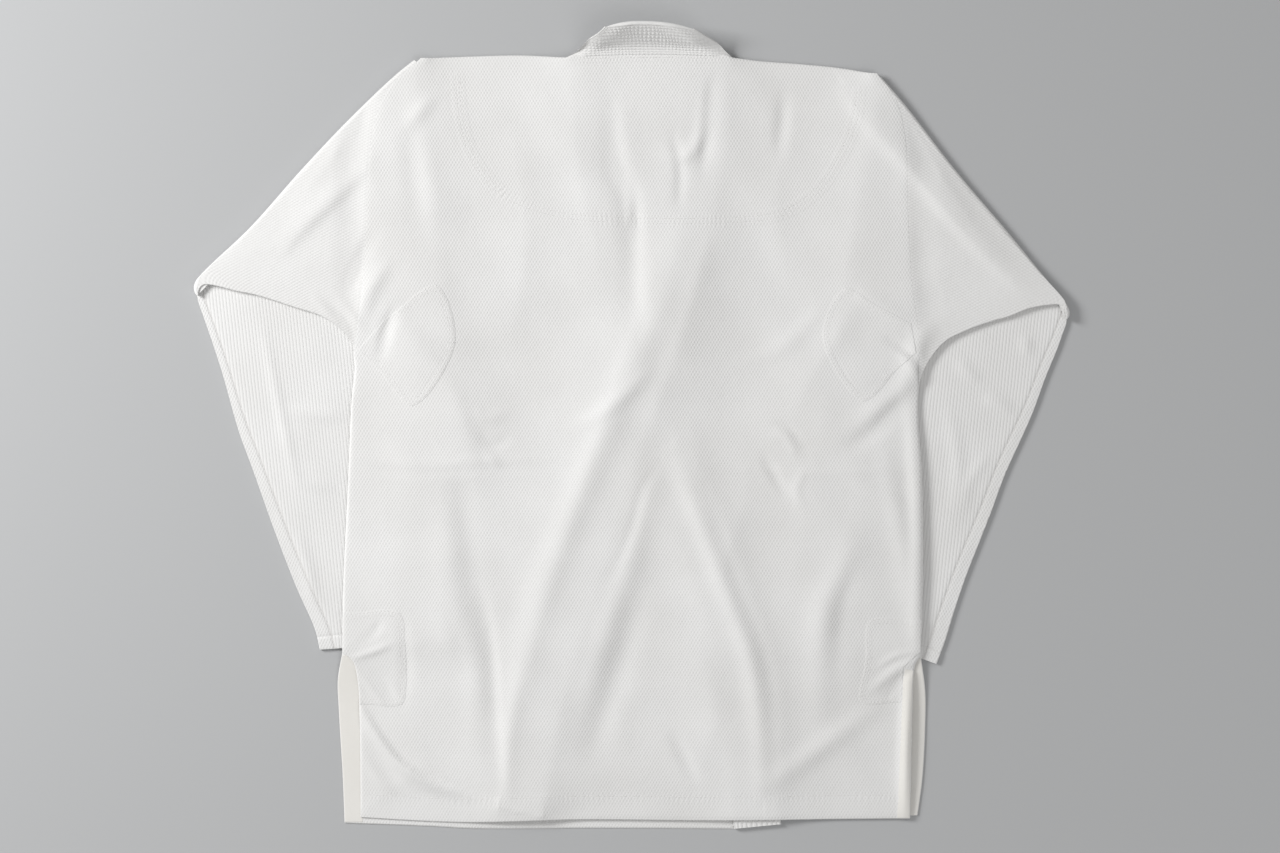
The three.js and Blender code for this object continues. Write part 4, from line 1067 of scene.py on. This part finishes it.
def along_edge(name, low, high, inset=0.0, cells=30):
    """The stretch of an upright edge between two heights in plan, moved in towards the middle by inset."""
    line = smooth_line(EDGE[name], 120)
    y = np.linspace(low, high, cells)
    x = np.interp(y, line[::-1, 1], line[::-1, 0])
    return np.stack([x - np.sign(x) * inset, y], -1)


def on_front_left(x, y):
    """The left front's side that faces up: one thickness above its lower side."""
    return from_plan(under_left, x, y) + CLOTH


def on_front_right(x, y):
    """The right front's side that faces up: one thickness above its lower side."""
    return from_plan(under_right, x, y) + CLOTH


left_vent_top = np.vstack([
    along_edge("vent_back_left", -291, -239, 0.4), along_edge("side_left", -235, -195, 0.4)])
right_vent_top = np.vstack([[(281, -289), (283, -252)], along_edge("side_right", -236, -203, 0.4)])
TRIMS = {
    "armpit_patch_left": (
        [(-287, 78), (-266.5, 60), (-229, 20)], [(-257, 111), (-204, 147)],
        [(-287, 78), (-257, 111)], [(-229, 20), (-184, 86), (-204, 147)], on_back, "pearl"),
    "armpit_patch_right": (
        [(241, 25), (280, 62), (296, 76)], [(222, 144), (257, 124), (291, 106)],
        [(241, 25), (198, 92), (222, 144)], [(296, 76), (291, 106)], on_back, "pearl"),
    "vent_patch_left": (
        [(-284, -291), (-240, -291)], [(-300.5, -195), (-242, -195)],
        left_vent_top, [(-240, -291), (-235, -267), (-236, -230), (-242, -195)], on_back, "pearl"),
    "vent_patch_right": (
        [(238, -289), (281, -289)], [(247, -203), (301.5, -203)],
        [(238, -289), (243, -246), (247, -203)], right_vent_top, on_back, "pearl"),
    "vent_tape_back_right": (
        [(277, -409.5), (289.5, -409.5)], [(285, -254), (291.5, -256)],
        [(277, -409.5), (283, -268), (285, -254)], along_edge("vent_back_right", -409.5, -256, 0.4),
        on_back, "tape"),
    "vent_tape_front_left": (
        [(-299.6, -414), (-281.5, -414)], [(-302.3, -240), (-298, -240)],
        along_edge("vent_front_left", -414, -240, 0.4), along_edge("vent_back_left", -414, -240, 1.6),
        on_front_left, "tape"),
    "vent_tape_front_right": (
        [(289, -407), (297.6, -407)], [(298.5, -243), (301.5, -243)],
        along_edge("vent_back_right", -407, -243, 1.2), along_edge("vent_front_right", -407, -243, 0.4),
        on_front_right, "tape"),
}
# Its tone paints a little shade into the gaps of the tape's weave
CREAM_TAPE = cotton("cream_tape", PEARL_WEAVE, relief=0.08, sizes={"Column": 0.0011, "Row": 0.0011},
                    tone={"Fresh": (0.8, 0.785, 0.75, 1), "Worn": (0.77, 0.75, 0.71, 1), "Painted gap shade": 0.08})
TRIM_LOOKS = {"tape": (CREAM_TAPE, "vent_tape"), "pearl": (PEARL_CLOTH, "pearl_weave")}
for name, (*edges, surface, cloth) in TRIMS.items():
    piece = trim(f"{name}_cloth", *edges, surface, rows=TRIM_ROWS[cloth])
    finished(piece, *TRIM_LOOKS[cloth], name)

# Hems and sewn rows: the cloth's edges are turned in and stitched down, and each row of stitches draws the
# cloth into small uneven puckers. Strips of the panels' own surface carry the puckers along each row.
STRIP_RISE = 0.17
STRIP_SINK = 0.12
ROW_GROOVE = 0.13
ROW_CLEAR = 0.05


def strip(name, path, offsets, rows, surface, seed, pucker, pitch, thick=0.35):
    """A strip to the left of a path: ripples across it, of uneven pitch and height, a groove at each row of
    stitches, and long edges that sink into the cloth. Gives the mesh and the line of each row."""
    path = at_share(path, np.linspace(0, 1, round(length_of(path) / 1.25)))
    way = np.gradient(path, axis=0)
    way /= np.linalg.norm(way, axis=1)[:, None]
    left = np.stack([-way[:, 1], way[:, 0]], -1)
    s = np.concatenate([[0], np.cumsum(np.linalg.norm(np.diff(path, axis=0), axis=1))])[:, None]
    turns = np.random.default_rng(seed).uniform(0, 2 * math.pi, 6)

    def at(o):
        o = np.atleast_1d(np.asarray(o, float))[None]
        plan = path[:, None] + left[:, None] * o[..., None]
        across = (o - offsets[0]) / (offsets[-1] - offsets[0])
        swell = np.clip(np.sin(np.pi * np.clip(across, 0, 1)), 0, 1) ** 0.45
        ends = smoothstep(s, 0, 8) * smoothstep(s[-1] - s, 0, 8)
        phase = s * 2 * math.pi / pitch + 2.2 * np.sin(s / 23 + turns[0]) + 1.4 * np.sin(s / 9.5 + turns[1])
        phase = phase + 0.22 * o * np.sin(s / 31 + turns[2])
        size = 0.65 + 0.35 * np.sin(s / 17 + turns[3]) + 0.3 * np.sin(s / 6.1 + turns[4])
        drawn = sum(np.exp(-(((o - row) / 0.9) ** 2)) for row in rows)
        window = np.minimum(1, sum(np.exp(-(((o - row) / 6.0) ** 2)) for row in rows))
        ripple = pucker * size * np.sin(phase) * window * (1 - 0.7 * drawn) - ROW_GROOVE * drawn
        z = surface(plan[..., 0], plan[..., 1]) - STRIP_SINK
        z = z + swell * ends * (STRIP_RISE + STRIP_SINK + ripple)
        return np.concatenate([plan, z[..., None]], -1)

    grid = at(offsets)
    points, faces = wall(grid.transpose(1, 0, 2)[::-1], thick, 0.0)
    piece = made(name, points, outward_list(points, faces))
    return piece, [at(row)[4:-4, 0] for row in rows]


def outward_list(points, faces):
    """The faces as lists of corners, turned so that they close a volume above 0."""
    flat = np.asarray(points).reshape(-1, 3)
    return outward(flat, np.array(faces)).tolist()


def spaced(low, high, step):
    """Even places from low to high, about one step apart."""
    return np.linspace(low, high, max(3, round((high - low) / step) + 1))


YOKE = [(-183, 374), (-181, 350), (-178, 322), (-166, 280), (-147, 254), (-130, 239), (-75, 220), (8, 214),
        (113, 215), (158, 222), (196, 248), (220, 285), (233, 322), (238, 360)]
# Of each strip: its path, its places across, its rows of stitches, what it lies on, the height and pitch of
# its puckers, and the panel that it is sewn on
STRIPS = {
    "back_hem": (
        smooth_line(EDGE["hem_back"], 200), spaced(0.4, 30, 1.7), (24.5,), on_back, 0.22, 5.2, "back"),
    "front_left_hem": (
        smooth_line(EDGE["hem_front_left"], 200), spaced(0.4, 28, 2.0), (23,), on_front_left, 0.4, 5.0,
        "front_left"),
    "front_right_hem": (
        smooth_line(EDGE["hem_front_right"][::-1], 200), spaced(0.4, 28, 2.0), (23,), on_front_right, 0.4,
        5.0, "front_right"),
    "yoke_seam": (smooth_line(YOKE, 300), spaced(-9, 9, 1.1), (-2.6, 2.6), on_back, 0.15, 4.6, "back"),
    "neck_seam": (
        smooth_line(EDGE["neck"], 120)[4:-4] - [0, 1.6], spaced(-9, -0.2, 0.9), (-3.4,), on_back, 0.2, 3.9,
        "back"),
}


def on_patch(x, y):
    """What a strip on a patch starts from, so that its rise brings it just above the patch."""
    return on_back(x, y) + TRIM_CLEAR + TRIM + ROW_CLEAR - STRIP_RISE


# Two rows along the three edges of each patch that lie on the back, with the patch to the right of the path
for name in ("armpit_patch_left", "armpit_patch_right", "vent_patch_left", "vent_patch_right"):
    bottom, top, left, right = [np.asarray(edge, float) for edge in TRIMS[name][:4]]
    turned = [top, right[::-1], bottom[::-1]] if name.endswith("left") else [bottom[::-1], left, top]
    path = np.vstack(turned)
    apart = np.concatenate([[True], np.linalg.norm(np.diff(path, axis=0), axis=1) > 1])
    STRIPS[f"{name}_rows"] = (
        smooth_line(path[apart], 200), spaced(-8.6, -0.6, 1.0), (-2.4, -6.6), on_patch, 0.1, 4.6, "back")

STRIP_SEED = 40
sewn_rows, stitch_runs = {}, []
for k, (name, (path, offsets, rows, surface, pucker, pitch, home)) in enumerate(STRIPS.items()):
    seam, runs = strip(f"{name}_cloth", path, offsets, rows, surface, STRIP_SEED + k, pucker, pitch)
    sewn_rows.setdefault(home, []).append(finished(seam, PEARL_CLOTH, "pearl_weave"))
    stitch_runs += runs

# Stitches: soft white cotton thread, each stitch a slim spindle that lies along its row.
STITCH = 3.1
STITCH_GAP = 1.3
STITCH_LIFT = 0.08


def stitched(name, runs, width=0.75, height=0.22):
    """Stitches along runs of points: each has a tip at both ends and two rings of four points between them,
    at a quarter and three quarters of its length."""
    starts, ends = [], []
    for run in runs:
        total = length_of(run)
        begin = (np.arange(int(total / (STITCH + STITCH_GAP))) + 0.15) * (STITCH + STITCH_GAP) / total
        starts.append(at_share(run, begin))
        ends.append(at_share(run, np.minimum(begin + STITCH / total, 1)))
    a, b = np.vstack(starts), np.vstack(ends)
    way = b - a
    long = np.linalg.norm(way, axis=1)
    a, b, way = a[long > 1], b[long > 1], (way / long[:, None])[long > 1]
    side = np.cross(way, [0, 0, 1.0])
    side /= np.linalg.norm(side, axis=1)[:, None]
    up = np.cross(side, way)
    corners = [side * width / 2, up * height, -side * width / 2, -up * height * 0.4]
    rings = [a + (b - a) * t + corner for t in (0.25, 0.75) for corner in corners]
    points = np.stack([a] + rings + [b], 1)
    one = [(0, 1 + k, 1 + (k + 1) % 4) for k in range(4)]
    one += [(9, 5 + (k + 1) % 4, 5 + k) for k in range(4)]
    four = [(1 + k, 5 + k, 5 + (k + 1) % 4, 1 + (k + 1) % 4) for k in range(4)]
    base = np.arange(len(a))[:, None, None] * 10
    faces = (base + np.array(one)).reshape(-1, 3).tolist() + (base + np.array(four)).reshape(-1, 4).tolist()
    return made(name, points, faces)


# Its tone paints a little shade between the thread's ribs
THREAD = cotton("cotton_thread", RIBS, relief=0.1, sizes={"Pitch": 0.0005, "Grain": 0.0008},
                tone={"Fresh": (0.83, 0.82, 0.81, 1), "Worn": (0.8, 0.79, 0.775, 1), "Painted gap shade": 0.03})
sleeve_runs = {
    name: [forearm_seams[name][4:], cuff_rows[name][3:-3]] for name in SLEEVES
}
body_runs = [run + [0, 0, STITCH_LIFT] for run in stitch_runs]
threads = {
    "body": finished(stitched("body_stitches", body_runs), THREAD, "pearl_weave"),
    "collar": finished(stitched("collar_stitches", band_runs), THREAD, "collar_twill"),
}
for name, runs in sleeve_runs.items():
    threads[name] = finished(stitched(f"sleeve_{name}_stitches", runs), THREAD, "ribbed_weave")

# The studio: a plain pale floor, a broad soft light from the left that rakes the folds, and a camera that
# looks straight down.
FLOOR_SIZE = 12.0
LIGHTS = {"key": ((-2.2, 0.9, 1.5), 0.9, 70), "fill": ((1.6, -1.2, 2.6), 2.5, 25)}
SURROUNDINGS = 0.35
SENSOR_WIDTH = 36
CAMERA_HEIGHT = 4.0
PICTURE_WIDTH = 1.3376
PICTURE_CENTRE = (0.00836, -0.001)


def plain_floor():
    """A square of matt pale grey at height 0."""
    mesh = bpy.data.meshes.new("floor")
    h = FLOOR_SIZE / 2
    mesh.from_pydata([(-h, -h, 0), (h, -h, 0), (h, h, 0), (-h, h, 0)], [], [(0, 1, 2, 3)])
    floor = bpy.data.objects.new("floor", mesh)
    bpy.context.scene.collection.objects.link(floor)
    material = bpy.data.materials.new("pale_floor")
    material.use_nodes = True
    shader = material.node_tree.nodes["Principled BSDF"]
    shader.inputs["Base Color"].default_value = (0.45, 0.455, 0.46, 1)
    shader.inputs["Roughness"].default_value = 0.9
    mesh.materials.append(material)


def soft_light(name, place, size, power):
    """A square white area light that looks at the middle of the jacket."""
    lamp = bpy.data.lights.new(name, "AREA")
    lamp.size = size
    lamp.energy = power
    light = bpy.data.objects.new(name, lamp)
    bpy.context.scene.collection.objects.link(light)
    light.location = place
    light.rotation_euler = (-light.location).to_track_quat("-Z", "Y").to_euler()


def camera_from_above():
    """A camera whose picture is PICTURE_WIDTH wide on the floor: its lens is to its sensor as its height is to
    that width."""
    eye = bpy.data.cameras.new("camera")
    eye.sensor_width = SENSOR_WIDTH
    eye.lens = SENSOR_WIDTH * CAMERA_HEIGHT / PICTURE_WIDTH
    camera = bpy.data.objects.new("camera", eye)
    bpy.context.scene.collection.objects.link(camera)
    camera.location = (*PICTURE_CENTRE, CAMERA_HEIGHT)
    bpy.context.scene.camera = camera


bpy.context.scene.view_settings.view_transform = "Standard"
plain_floor()
for name, (place, size, power) in LIGHTS.items():
    soft_light(name, place, size, power)
world = bpy.data.worlds.new("studio")
world.use_nodes = True
world.node_tree.nodes["Background"].inputs["Color"].default_value = (1, 1, 1, 1)
world.node_tree.nodes["Background"].inputs["Strength"].default_value = SURROUNDINGS
bpy.context.scene.world = world
camera_from_above()
